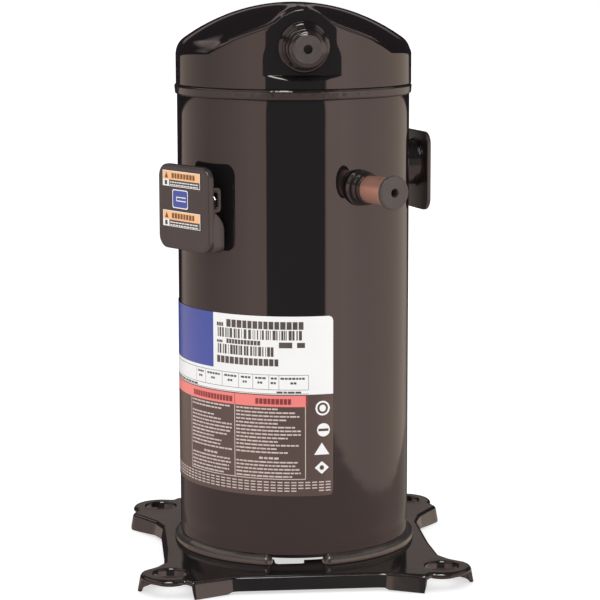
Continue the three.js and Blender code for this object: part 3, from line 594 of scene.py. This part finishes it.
def lower_weld():
    """Fillet weld round the foot of the shell, open at the front."""
    first, last, steps = 9.0, 344.0, 560
    phase = rng.uniform(0, 2 * math.pi, 8)
    rows = []
    for i in range(steps + 1):
        az = first + (last - first) * i / steps
        end = min(1, (az - first) / 2.6, (last - az) / 2.6)
        swell = math.sqrt(max(0.02, 1 - (1 - end) ** 2))
        a = math.radians(az)
        slow = sum(math.sin(a * k + phase[j]) for j, k in enumerate((5, 9, 14, 23))) / 4
        fine = sum(math.sin(a * k + phase[j + 4]) for j, k in enumerate((61, 83, 127, 199))) / 4
        reach = (4.3 + 0.45 * slow + 0.10 * fine) * swell
        height = (6.6 + 0.6 * slow) * swell
        row = []
        for t in np.linspace(0, 1, 13):
            q = math.radians(90 * t)
            bulge = 1 + 0.10 * math.sin(math.pi * t)
            r = SHELL_R - 3.2 + (3.2 + reach) * math.cos(q) * bulge + 0.05 * fine * math.sin(2 * q)
            z = PLATE_TOP + 0.3 + height * math.sin(q) * bulge
            row.append((*around(az, min(r, SHELL_R + 5)), z))
        row.append((*around(az, SHELL_R - 4.2), PLATE_TOP + 0.3 + height * 0.7))
        row.append((*around(az, SHELL_R - 4.2), PLATE_TOP + 0.3))
        rows.append(row)
    weld = Shape()
    weld.grid(rows, close_columns=True)
    weld.polygon(rows[0])
    weld.polygon(rows[-1])
    # the weld's paint carries a painted reflection of the studio panels in its colour
    weld.build("lower_weld_bead", [WELD_PAINT_WITH_PAINTED_REFLECTION], "shell", ["base_weld"], "black_paint")


def smooth_max(a, b, k):
    h = np.clip(0.5 + 0.5 * (a - b) / k, 0, 1)
    return b + (a - b) * h + k * h * (1 - h)


def smooth_min(a, b, k):
    return -smooth_max(-a, -b, k)


# Lower end of the flat face round the discharge pipe, and the ridge line over it as half width and height.
FACE_BOTTOM = 355.6
RIDGE = ((0, 400.6), (6, 399.8), (12.8, 396.6), (20, 391.4), (25, 389), (33, 386), (40, 383.4), (48, 380),
         (56, 375), (64, 368))


def cap_field(x, y, z):
    """Negative inside the top cap, positive outside: a dome, and a raised front with a flat cut in it."""
    r = np.hypot(x, y)
    ball = np.sqrt(r * r + (z - (CAP_APEX - DOME_R)) ** 2) - DOME_R
    body = smooth_max(r - CAP_R, ball, 6.0)
    roof = np.interp(np.abs(x), [p[0] for p in RIDGE], [p[1] for p in RIDGE])
    wall = smooth_max(r - CAP_R + 0.2, (z - roof) * 0.75, 2.2)
    wall = smooth_max(wall, y + 15, 6.0)
    joined = smooth_min(body, wall, 4.0)
    # the flat is pressed in; its lower end slopes out to the round of the cap
    rise = np.clip((z - FACE_BOTTOM + 4.2) / 4.2, 0, 1)
    face = -(y + CAP_R + 1.5 - (CAP_R + 1.5 - BOSS_FACE) * rise)
    return smooth_max(joined, face, 1.0)


def top_cap():
    """Every point is found along a ray from inside the cap, where the field changes sign."""
    front = np.linspace(-48, 48, 241)
    back = np.linspace(48, 312, 133)[1:-1]
    azimuths = np.radians(np.concatenate([front, back]))
    low = np.linspace(0, 12, 73)
    high = np.linspace(12, 90, 179)[1:]
    elevations = np.radians(np.concatenate([low, high]))
    az, el = np.meshgrid(azimuths, elevations)
    dx, dy, dz = np.cos(el) * np.sin(az), -np.cos(el) * np.cos(az), np.sin(el)
    near = np.full(az.shape, 20.0)
    far = np.full(az.shape, 130.0)
    for _ in range(44):
        middle = (near + far) / 2
        inside = cap_field(dx * middle, dy * middle, CAP_BOTTOM + dz * middle) < 0
        near = np.where(inside, middle, near)
        far = np.where(inside, far, middle)
    cap = Shape()
    rows = [[(dx[i, k] * near[i, k], dy[i, k] * near[i, k], CAP_BOTTOM + dz[i, k] * near[i, k])
             for k in range(az.shape[1])] for i in range(az.shape[0])]
    cap.grid(rows, close_columns=True)
    rim = [[(*around(math.degrees(a), CAP_R * s), CAP_BOTTOM) for a in azimuths] for s in (1, 0.962)]
    cap.grid(rim, close_columns=True)
    # plain inner skin
    inner = [(80.8, CAP_BOTTOM), (80.8, 366), (78.6, 371.0), (66, 383), (48, 391.2), (26, 397.2), (0, 399.8)]
    rows = [[(*around(math.degrees(a), r), z) for a in azimuths] for r, z in inner]
    cap.grid(rows, close_columns=True)
    cap.build("top_cap_skin", [PAINT], "shell", ["top_cap"], "black_paint", weld=2e-5)


shell_and_lower_cap()
upper_weld()
lower_weld()
top_cap()

# ---------------------------------------------------------------- base plate

# Quarter edges as half width, depth and flange depth; the flange faces lean outwards at the bottom.
BACK_SIDE = (
    (96, 30, 9.7), (101, 46, 10.5), (111, 62, 12), (117.2, 71, 12.4), (117.6, 74, 10), (116.2, 78, 3.4),
)
FRONT_SIDE = ((96, 30, 9.7), (98, 66, 9.7), (104.5, 77, 11.5))
END_EDGE = ((81.6, 119.8, 3.4), (79.8, 119.9, 12.4), (56, 111.4, 11.6), (53.4, 110.1, 10.4), (49, 110, 10.2))
LEAN = 0.2
SHEET_EDGE = 5.6                # the flat sheet ends this far inside the outline
DISH_R = 12.8
OPENING_R = 71                  # centre opening under the lower cap
SLOT_FAR = 20.5                 # a drain slot leaves the circle this far to one side of the quarter line
SLOT_NEAR = 0.5                 # and this far to the other


def foot_edge(front):
    out = []
    for i in range(19):
        angle = -28 + 146 * i / 18
        a = math.radians(angle)
        drop = 3.4
        if front:
            drop = 12.2 if angle < 8 else max(3.4, 12.2 - 9 * (angle - 8) / 10)
        out.append((MOUNT + FOOT_R * math.cos(a), MOUNT + FOOT_R * math.sin(a), drop))
    return out


def base_outline():
    """Closed list of (x, y, flange depth), all the way round."""
    out = []
    for sx, sy, front in ((1, 1, False), (-1, 1, False), (-1, -1, True), (1, -1, True)):
        quarter = [*(FRONT_SIDE if front else BACK_SIDE), *foot_edge(front), *END_EDGE]
        part = [(sx * x, sy * y, d) for x, y, d in quarter]
        out.extend(part if sx * sy > 0 else part[::-1])
    return out


def resample(points, step):
    """Closed line with extra points so that none are further apart than step."""
    out = []
    for i, p in enumerate(points):
        q = points[(i + 1) % len(points)]
        length = math.dist(p[:2], q[:2])
        count = max(1, math.ceil(length / step))
        for k in range(count):
            t = k / count
            out.append(tuple(a + (b - a) * t for a, b in zip(p, q)))
    return out


def smooth_ring(values, passes):
    for _ in range(passes):
        values = (np.roll(values, 1, 0) + 2 * values + np.roll(values, -1, 0)) / 4
    return values


def base_plate():
    line = resample(base_outline(), 1.6)
    count = len(line)
    xy = smooth_ring(np.array([p[:2] for p in line]), 2)
    drop = np.array([p[2] for p in line])
    along = np.roll(xy, -1, 0) - np.roll(xy, 1, 0)
    along /= np.linalg.norm(along, axis=1)[:, None]
    outward = smooth_ring(np.stack([along[:, 1], -along[:, 0]], 1), 1)
    outward /= np.linalg.norm(outward, axis=1)[:, None]
    bend = 2.6
    rows = []
    inner_loop = []
    for i in range(count):
        d = float(drop[i])
        r = min(bend, d * 0.75)
        ri = max(0.4, r - PLATE_THICK + 0.6)
        lean = LEAN * max(0.0, d - 4.0)
        section = [(-SHEET_EDGE, 0.0), (-r - 1.5, 0.0)]
        section += [(-r + r * math.sin(math.radians(a)), -r + r * math.cos(math.radians(a)))
                    for a in (0, 15, 30, 45, 60, 75, 82)]
        section += [(lean, -d + 0.6), (lean - 0.6, -d), (lean - PLATE_THICK + 0.9, -d),
                    (lean - PLATE_THICK + 0.3, -d + 0.5)]
        section += [(-PLATE_THICK + 0.3, -max(PLATE_THICK + ri, 3.3)), (-PLATE_THICK - ri, -PLATE_THICK)]
        section += [(-SHEET_EDGE, -PLATE_THICK)]
        rows.append([(xy[i, 0] + outward[i, 0] * u, xy[i, 1] + outward[i, 1] * u, PLATE_TOP + w)
                     for u, w in section])
        inner_loop.append((xy[i, 0] - outward[i, 0] * SHEET_EDGE, xy[i, 1] - outward[i, 1] * SHEET_EDGE))
    plate = Shape()
    plate.grid(rows, close_rows=True)

    def circle(cx, cy, r, steps):
        return [(cx + r * math.cos(2 * math.pi * k / steps), cy + r * math.sin(2 * math.pi * k / steps))
                for k in range(steps)]

    def loop_with_slots():
        """Centre opening: a circle with four drain slots beside the quarter lines."""
        out = []
        for k in range(4):
            turn = math.radians(90 * k)
            slot = [(-SLOT_FAR, -math.sqrt(OPENING_R ** 2 - SLOT_FAR ** 2)), (-SLOT_FAR, -78), (-18.5, -80),
                    (-1.5, -80), (SLOT_NEAR, -78), (SLOT_NEAR, -math.sqrt(OPENING_R ** 2 - SLOT_NEAR ** 2))]
            out += [(x * math.cos(turn) - y * math.sin(turn), x * math.sin(turn) + y * math.cos(turn))
                    for x, y in slot]
            a0 = math.degrees(math.atan2(SLOT_NEAR, OPENING_R)) + 90 * k
            a1 = 90 - math.degrees(math.asin(SLOT_FAR / OPENING_R)) + 90 * k
            out += [(OPENING_R * math.sin(math.radians(a)), -OPENING_R * math.cos(math.radians(a)))
                    for a in np.linspace(a0, a1, 20)[1:-1]]
        return out

    holes = [circle(sx * MOUNT, sy * MOUNT, DISH_R, 64) for sx in (1, -1) for sy in (1, -1)]
    centre = loop_with_slots()
    for level in (PLATE_TOP, PLATE_TOP - PLATE_THICK):
        fill_sheet(plate, [inner_loop, centre] + holes, level)
    levels = (PLATE_TOP, PLATE_TOP - 0.5, PLATE_TOP - PLATE_THICK)
    plate.grid([[(x, y, z) for x, y in centre] for z in levels], close_columns=True)
    # raised ring round each mount hole, then a dished lip
    lip = [(DISH_R, 0.0), (12.4, -0.05), (12.0, -0.3), (11.6, -0.9), (11.25, -1.8), (10.95, -3.0),
           (10.65, -4.6), (10.6, -6.2), (11.0, -6.8), (11.8, -6.6), (12.3, -5.6), (12.6, -4.2),
           (DISH_R, -PLATE_THICK)]
    for sx in (1, -1):
        for sy in (1, -1):
            plate.turned([(r, PLATE_TOP + h) for r, h in lip],
                         lambda x, y, z, sx=sx, sy=sy: (x + sx * MOUNT, y + sy * MOUNT, z), segments=64)
    piece = plate.build("base_plate_pressing", [PLATE_PAINT], "shell", ["base_plate"], "black_paint",
                        weld=2e-5)
    # the shell mirrors the studio floor here, not the plate
    piece.visible_glossy = False


def fill_sheet(shape, loops, level):
    """Flat sheet inside the first loop and outside the others."""
    bm = bmesh.new()
    edges = []
    for loop in loops:
        verts = [bm.verts.new((x, y, 0)) for x, y in loop]
        edges += [bm.edges.new((verts[i], verts[(i + 1) % len(verts)])) for i in range(len(verts))]
    made = bmesh.ops.triangle_fill(bm, use_beauty=True, use_dissolve=False, edges=edges, normal=(0, 0, 1))
    bm.verts.index_update()
    start = len(shape.points)
    shape.points.extend((v.co.x, v.co.y, level) for v in bm.verts)
    for item in made["geom"]:
        if isinstance(item, bmesh.types.BMFace):
            shape.faces.append(tuple(start + v.index for v in item.verts))
            shape.marks.append(0)
    bm.free()


base_plate()

# ---------------------------------------------------------------- pipe stubs and stoppers


def pipe_parts():
    front = facing(0, DISCHARGE_Z)
    face = BOSS_FACE
    collar = Shape()
    collar.turned(soften([
        (11.4, 77), (13.6, 77), (13.8, face + 0.3), (17.9, face + 0.3), (17.9, face + 2.4),
        (16.4, face + 4.4), (15.4, face + 5.0), (15.2, face + 7.4), (14.0, face + 8.8),
        (14.0, face + 15.0), (13.0, face + 17.4),
        (11.4, face + 17.4)], 1.3, 5, closed=True), front, 128, closed=True)
    collar.build("discharge_collar", [PAINT], "shell", ["discharge_fitting"], "black_paint")
    stopper = Shape()
    tip = DISCHARGE_TIP
    stopper.turned(soften([
        (0, 95), (9.3, 95), (9.5, tip - 5.6), (12.6, tip - 5.6), (12.7, tip - 3.4), (11.6, tip - 1.9),
        (9.7, tip - 1.4)], 0.9, 4), front, 96, mark=1)
    stopper.turned(soften([
        (9.7, tip - 1.4), (9.5, tip - 0.3), (9.1, tip), (3.4, tip), (2.9, tip - 0.7), (2.9, tip - 8),
        (0, tip - 8)], 0.5), front, 96)
    stopper.build("discharge_stopper_body", [RUBBER, GLOSS_PLASTIC], "discharge_stopper",
                  ["discharge_plug"], "rubber")
    side = facing(SUCTION_AZ, SUCTION_Z)
    collar = Shape()
    collar.turned(soften([
        (9.8, 77), (11.5, 77), (11.5, SHELL_R + 0.6), (12.6, SHELL_R + 0.6), (12.6, 85.2), (11.7, 86.4),
        (11.2, 87.8), (11.7, 89.0), (11.8, 90.6), (11.3, 92.2), (10.8, 93.4), (10.9, 95.6), (10.4, 97),
        (9.8, 97)], 0.6, 4, closed=True), side, 128, closed=True)
    collar.build("suction_collar", [STEEL_PAINTED], "shell", ["suction_fitting"], "steel")
    tube = Shape()
    tube.turned(soften([
        (8.4, 77), (9.5, 77), (9.5, 100), (9.5, 110), (9.5, SUCTION_TIP - 4.6), (9.2, SUCTION_TIP - 4),
        (8.4, SUCTION_TIP - 4)], 0.3, closed=True), side, 96, closed=True)
    tube.build("suction_pipe", [COPPER], "shell", ["suction_tube"], "copper")
    stopper = Shape()
    tip = SUCTION_TIP
    stopper.turned(soften([
        (0, 103), (7.6, 103), (8.0, tip - 3.7), (11.4, tip - 3.7), (11.7, tip - 3.0), (11.7, tip - 1.0),
        (11.0, tip), (3.2, tip), (2.8, tip - 0.7), (2.8, tip - 9), (0, tip - 9)], 0.6), side, 96)
    stopper.build("suction_stopper_body", [RUBBER], "suction_stopper", ["suction_plug"], "rubber")


pipe_parts()

# ---------------------------------------------------------------- moulded electrical plugs


def rounded_rectangle(w, h, r, steps=10):
    out = []
    for sx, sy, start in ((1, 1, 0), (-1, 1, 90), (-1, -1, 180), (1, -1, 270)):
        for i in range(steps + 1):
            a = math.radians(start + 90 * i / steps)
            out.append((sx * (w / 2 - r) + r * math.cos(a), sy * (h / 2 - r) + r * math.sin(a)))
    return out


HOOD_START = -0.5               # height above the plate centre where the hood wall begins
HOOD_FULL = -14.0               # and where it has its full depth
HOOD_DEPTH = 9.0


def hood_and_loop(shape, place, width, height, back):
    """Wall round the lower half of a plate, deepest along the bottom, and a strap loop above it."""
    half_w, half_h, thick = width / 2, height / 2, 2.4
    outline = [p for p in rounded_rectangle(width, height, 5, 14) if p[1] < HOOD_START]
    outline += [(half_w, HOOD_START), (-half_w, HOOD_START)]
    outline.sort(key=lambda p: math.atan2(p[0], -p[1] - 14))
    path = []
    for a, b in zip(outline, outline[1:]):
        count = max(1, math.ceil(math.dist(a, b) / 1.5))
        path += [(a[0] + (b[0] - a[0]) * k / count, a[1] + (b[1] - a[1]) * k / count) for k in range(count)]
    path.append(outline[-1])
    rows = []
    for x, y in path:
        down = min(1.0, max(0.0, (HOOD_START - y) / (HOOD_START - HOOD_FULL)))
        rim = back - 0.4 - (HOOD_DEPTH - 0.4) * math.sin(math.pi / 2 * down) ** 0.85
        ix, iy = x * (1 - thick / half_w), y * (1 - thick / half_h)
        rows.append([place(x, y, back + 0.4), place(x, y, min(back, rim + 0.6)),
                     place(x * 0.985, y * 0.985, rim), place(ix * 1.015, iy * 1.015, rim),
                     place(ix, iy, min(back, rim + 0.5)),
                     place(ix, iy, back + 0.4)])
    shape.grid(rows, close_columns=True)
    shape.polygon(rows[0])
    shape.polygon(rows[-1])
    strap = soften([(-1.0, back + 0.3), (-1.0, back - 6.4), (16.0, back - 6.4), (16.0, back + 0.3)], 4.4, 6)
    inner = soften([(1.9, back + 0.3), (1.9, back - 4.2), (13.0, back - 4.2), (13.0, back + 0.3)], 2.8, 6)
    left, right = half_w - 3.2, half_w - 0.6
    rows = [[place(left, y, out) for y, out in strap], [place(right - 0.3, y, out) for y, out in strap],
            [place(right, y * 0.98 + 0.14, out + 0.15) for y, out in strap],
            [place(right, y, out) for y, out in inner], [place(left, y, out) for y, out in inner]]
    shape.grid(rows, close_rows=True)


def plug(name, body, node, az, z, size, hooded):
    """Face plate and the ribbed neck behind it."""
    width, height, plate_thick, aside, below = size
    centre = facing(az, z - below)
    back = COVER_FACE - plate_thick

    def place(x, y, out):
        return centre(x + aside, y, out)

    shape = Shape()
    edge = min(1.0, plate_thick / 5)
    steps = [(3.4, COVER_FACE), (1.6, COVER_FACE - 0.05), (0.9, COVER_FACE - 0.25),
             (0.4, COVER_FACE - 0.7 * edge), (0.1, COVER_FACE - 1.3 * edge), (0.0, COVER_FACE - 2.0 * edge),
             (0.0, back + 0.5), (0.2, back + 0.1), (0.7, back)]
    rows = []
    for inset, out in steps:
        outline = rounded_rectangle(width - 2 * inset, height - 2 * inset, 9 - inset * 0.8)
        rows.append([place(x, y, out) for x, y in outline])
    shape.grid(rows, close_columns=True)
    shape.polygon(rows[0])
    shape.polygon(rows[-1])
    if hooded:
        hood_and_loop(shape, place, width, height, back)
    # neck: soft ribs, with a wider ring against the plate
    neck = facing(az, z)
    seat = SHELL_R + 0.7
    profile = [(NECK_R - 0.4, back + 0.3), (NECK_R + 0.9, back - 0.1), (NECK_R + 1.0, back - 0.6),
               (NECK_R + 0.4, back - 1.0)]
    for i in range(61):
        t = i / 60
        out = back - 1.1 - t * (back - 1.1 - seat - 0.2)
        rib = 0.6 * math.sin(2 * math.pi * t * 2.5) ** 2 if hooded else -1.2 * t
        profile.append((NECK_R - 0.4 + rib, out))
    profile += [(NECK_R - 1.6, seat), (NECK_R - 4.0, seat), (NECK_R - 4.2, back - 0.2)]
    shape.turned(profile, neck, 96, mark=1)
    shape.build(name, [PLASTIC, GLOSS_PLASTIC], body, [node], "moulding")


plug("motor_plug_moulding", "power_plug", "terminal_cover", POWER_AZ, POWER_Z, MOTOR_PLUG, True)
plug("solenoid_plug_moulding", "solenoid_plug", "solenoid_cover", SOLENOID_AZ, SOLENOID_Z, SOLENOID_PLUG,
     False)

# ---------------------------------------------------------------- printed labels


class Print:
    """Thin flat or curved prints stacked on each other; place maps (across, up, height) to the object."""

    def __init__(self, place, step):
        self.shape = Shape()
        self.place = place
        self.step = step

    def strip(self, x0, x1, low, high, lift, mark):
        """Area between two heights, which may be functions of x."""
        count = max(1, math.ceil((x1 - x0) / self.step))
        low_at = low if callable(low) else (lambda x: low)
        high_at = high if callable(high) else (lambda x: high)
        rows = []
        for i in range(count + 1):
            x = x0 + (x1 - x0) * i / count
            rows.append([self.place(x, low_at(x), lift), self.place(x, high_at(x), lift)])
        self.shape.grid(rows, mark=mark)

    def sheet(self, x0, x1, low, high, thick, mark):
        """Closed thin sheet that the prints lie on."""
        for lift in (0.0, thick):
            self.strip(x0, x1, low, high, lift, mark)

    def frame(self, x0, x1, low, high, width, lift, mark):
        self.strip(x0, x1, high - width, high, lift, mark)
        self.strip(x0, x1, low, low + width, lift, mark)
        self.strip(x0, x0 + width, low, high, lift, mark)
        self.strip(x1 - width, x1, low, high, lift, mark)

    def words(self, x0, x1, low, high, lift, mark, letters=(2.0, 6.5), gap=0.8):
        """A line of running text shown as plain bars."""
        x = x0
        while x < x1 - 1:
            end = min(x + rng.uniform(*letters), x1)
            self.strip(x, end, low, high, lift, mark)
            x = end + gap


def rating_label():
    base_z = PLATE_TOP

    def place(u, z, lift):
        r = LABEL_R + lift
        return (*around(math.degrees(u / SHELL_R), r), z + base_z)

    left = SHELL_R * math.radians(LABEL_AZ[0])
    right = SHELL_R * math.radians(LABEL_AZ[1])
    bottom, top = LABEL_Z[0] - base_z, LABEL_Z[1] - base_z
    label = Print(place, 1.6)
    FILM, WHITE, BLUE, PINK, RED_INK, PALE, DARK = range(7)

    def top_edge(x):
        near = max(0.0, x - (right - 3.5))
        return top - 3.5 + math.sqrt(max(0.0, 3.5 ** 2 - near ** 2)) if near else top

    def bottom_edge(x):
        near = max(0.0, x - (right - 3.0))
        return bottom + 3.0 - math.sqrt(max(0.0, 3.0 ** 2 - near ** 2)) if near else bottom

    one, two, three = 0.13, 0.16, 0.19
    label.strip(left, right - 3.5, bottom, top, 0.10, FILM)
    label.strip(right - 3.5, right, bottom_edge, top_edge, 0.10, FILM)
    blue_right = -69.1
    panel_low = 121.9
    # white panel with a blue block beside it
    label.strip(left, blue_right, panel_low, 137.9, one, WHITE)
    label.strip(blue_right, right - 3.5, panel_low, top, one, WHITE)
    label.step = 0.5
    label.strip(right - 3.5, right, panel_low, top_edge, one, WHITE)
    label.step = 1.6
    label.strip(left, blue_right, 137.9, top, one, BLUE)
    # heading bars, and two coded strips
    headings = ((-65.6, -60.0, 167.8, 170.5), (-57.2, -0.8, 167.8, 173.2), (-65.6, -60.0, 156.2, 158.0),
                (-57.2, -29.9, 156.2, 159.4), (-65.6, -18.3, 141.9, 146.9))
    for x0, x1, low, high in headings:
        size = high - low
        label.words(x0, x1, low, high, two, DARK, (size * 0.55, size * 0.7), size * 0.13)
    for x1, low, high in ((-1.6, 160.3, 167.0), (-21.6, 148.6, 155.3)):
        x = -64.9
        while x < x1:
            wide = rng.choice((0.5, 0.9, 1.5, 2.1), p=(0.35, 0.25, 0.25, 0.15))
            label.strip(x, min(x + wide, x1), low, high, two, DARK)
            x += wide + rng.choice((0.45, 0.8, 1.3))
    label.strip(-17.8, -8.6, 154.8, 158.8, two, DARK)
    label.strip(-5.3, 0.2, 155.0, 158.6, two, DARK)
    # table
    table_low, table_high = 125.3, 135.7
    for z in (panel_low + 0.6, table_low, table_high):
        label.strip(left, 2.6, z - 0.15, z + 0.15, two, DARK)
    for x in (-88.0, -77.4, -61.2, -47.4, -36.6, -25.0, -17.9, 2.6):
        label.strip(x - 0.13, x + 0.13, table_low, table_high, two, DARK)
    cells = ((-86, -79.5), (-75.5, -63.3), (-59.3, -49.2), (-45.6, -38.4), (-34.8, -27.0),
             (-23.6, -19.4), (-16.8, 1.4))
    for x0, x1 in cells:
        label.words(x0, x1, 132.6, 134.0, two, DARK, (1.4, 2.6), 0.5)
        middle = (x0 + x1) / 2
        label.words(middle - 2.2, middle + 2.2, 129.3, 130.8, two, DARK, (1.2, 2.0), 0.45)
    label.words(-19.5, -2.5, 122.9, 124.2, two, DARK, (2.0, 5.0), 0.6)
    label.words(left + 4, -85.5, 122.9, 124.2, two, DARK, (2.0, 5.0), 0.6)
    # header band over the columns
    band_low, band_high = 113.2, 121.2
    label.strip(left, 0.7, band_low, band_high, one, PINK)
    label.strip(0.7, 2.0, band_low, band_high, one, RED_INK)
    label.strip(-50.9, -50.5, band_low, band_high, two, RED_INK)
    for x0, x1 in ((-92.0, -52.6), (-34.8, -9.5)):
        label.words(x0, x1, 114.9, 118.9, two, RED_INK, (2.1, 2.6), 0.5)
    # ruled columns of small print
    line_low = 61.6
    for x in (-95.5, -50.75, 0.45):
        label.strip(x - 0.28, x + 0.28, line_low, band_low, one, PALE)
    for x0, x1 in ((-95.5, -50.75), (-50.75, 0.45)):
        label.strip(x0, x1, line_low - 0.3, line_low + 0.3, one, PALE)
    for x0, x1, skip in ((-94.0, -53.2, (2,)), (-49.6, -2.8, ())):
        z = 111.5
        for row in range(13):
            if row not in skip:
                end = x1 - rng.choice((0.0, 1.5, 4.0, 9.0, 16.0))
                label.words(x0, end, z - 0.55, z + 0.55, one, PALE, (1.6, 5.2), 0.55)
            z -= 2.58
        middle = (x0 + x1) / 2
        label.words(middle - 6, middle + 8, 75.7, 77.2, one, PALE, (2.4, 4.0), 0.8)
        z = 73.6
        for row in range(5):
            end = x1 - rng.choice((0.0, 1.0, 2.5, 6.0))
            label.words(x0, end, z - 0.55, z + 0.55, one, PALE, (1.6, 5.2), 0.55)
            z -= 2.55
    # four plain signs, one above the other
    label.step = 0.6
    def disc_strip(cx, cz, r, lift, mark):
        label.strip(cx - r, cx + r, lambda x: cz - math.sqrt(max(0, r * r - (x - cx) ** 2)),
                    lambda x: cz + math.sqrt(max(0, r * r - (x - cx) ** 2)), lift, mark)

    disc_strip(12.6, 112.0, 5.2, one, WHITE)
    disc_strip(12.6, 112.0, 3.9, two, FILM)
    disc_strip(12.6, 112.0, 2.4, three, WHITE)
    disc_strip(13.2, 96.5, 4.7, one, WHITE)
    label.strip(9.6, 16.8, 95.6, 97.4, two, FILM)
    label.strip(6.6, 17.4, 78.9, lambda x: 78.9 + 8.6 * (1 - abs(x - 12.0) / 5.5), one, WHITE)
    label.strip(7.0, 17.0, lambda x: 69.6 - 4.6 * (1 - abs(x - 12.0) / 5.1),
                lambda x: 69.6 + 4.6 * (1 - abs(x - 12.0) / 5.1), one, WHITE)
    disc_strip(12.0, 69.6, 1.7, two, FILM)
    # rows of short dashes under the columns
    label.step = 1.6
    for row, z in enumerate((59.3, 57.3, 55.2, 53.2)):
        x = left + 3
        end = 17.8 if row else 18.4
        while x < end:
            if not (row == 3 and -7 < x < 6):
                label.strip(x, x + 3.6, z - 0.42, z + 0.42, one, PALE)
            x += 4.85
    inks = [DARK_FILM, WHITE_PRINT, BLUE_PRINT, HEADER_PRINT, HEADER_INK, PALE_PRINT, INK]
    label.shape.build("rating_label_print", inks, "shell", ["rating_label"], "label", flat=True,
                      recalc=False)


def cover_prints():
    place = facing(POWER_AZ, POWER_Z)
    face = COVER_FACE + 0.25

    def on_face(x, y, lift):
        return place(x, y, face + lift)

    ORANGE, BROWN, WHITE, DARK = range(4)
    for name, node, low, high in (("upper_sticker", "cover_sticker_upper", 14.4, 25.4),
                                  ("lower_sticker", "cover_sticker_lower", -13.8, -2.6)):
        sheet = Print(on_face, 50)
        left, right = -24.2, 18.9
        sheet.strip(left, right, low, high, 0.1, WHITE)
        middle = low + (high - low) * 0.42
        sheet.strip(left + 0.5, right - 0.5, middle, high - 0.4, 0.14, ORANGE)
        sheet.strip(left + 7.4, right - 0.5, low + 0.4, middle, 0.14, DARK)
        # plain triangle and a bar in the header
        for i in range(8):
            half = 2.0 * (1 - i / 8)
            z = middle + 1.0 + 4.0 * i / 8
            sheet.strip(left + 4.4 - half, left + 4.4 + half, z, z + 0.5, 0.18, BROWN)
        sheet.words(left + 10.5, right - 6.0, middle + 1.2, high - 1.6, 0.18, BROWN, (2.3, 2.9), 0.8)
        for z in (low + 1.15, low + 3.0):
            sheet.words(left + 8.6, right - 2.2, z - 0.35, z + 0.35, 0.18, WHITE, (1.4, 3.6), 0.6)
        sheet.strip(left + 2.4, left + 5.2, low + 0.9, middle - 0.7, 0.14, DARK)
        inks = [ORANGE_PRINT, ORANGE_INK, WHITE_PRINT, INK]
        sheet.shape.build(name, inks, "power_plug", [node], "orange_label", flat=True, recalc=False)
    # plain blue badge with a pale border
    badge = Print(on_face, 50)

    def plate(inset, lift, mark):
        x0, x1, z0, z1 = -13 + inset, 5 - inset, -0.6 + inset, 12.6 - inset
        r = 1.6
        count = 5
        for i in range(count):
            a0, a1 = math.radians(90 * i / count), math.radians(90 * (i + 1) / count)
            x_in0, x_in1 = r * (1 - math.sin(a1)), r * (1 - math.sin(a0))
            for mirror in (False, True):
                lo, hi = (x0 + x_in0, x0 + x_in1) if not mirror else (x1 - x_in1, x1 - x_in0)

                def drop(x, lo=lo, hi=hi, mirror=mirror, x_in0=x_in0, x_in1=x_in1):
                    d = x - x0 if not mirror else x1 - x
                    return r - math.sqrt(max(0.0, r * r - (r - d) ** 2))
                badge.strip(lo, hi, lambda x, f=drop: z0 + f(x), lambda x, f=drop: z1 - f(x), lift, mark)
        badge.strip(x0 + r, x1 - r, z0, z1, lift, mark)

    plate(0.0, 0.10, 1)
    plate(0.7, 0.14, 0)
    badge.strip(-8.4, 2.6, 4.4, 7.6, 0.18, 1)
    badge.strip(-7.7, 2.6, 5.1, 6.9, 0.22, 0)
    badge.shape.build("cover_badge_print", [BLUE_PRINT, WHITE_PRINT], "power_plug", ["cover_badge"],
                      "blue_label", flat=True, recalc=False)


rating_label()
cover_prints()

# ---------------------------------------------------------------- final scene update

bpy.context.view_layer.update()
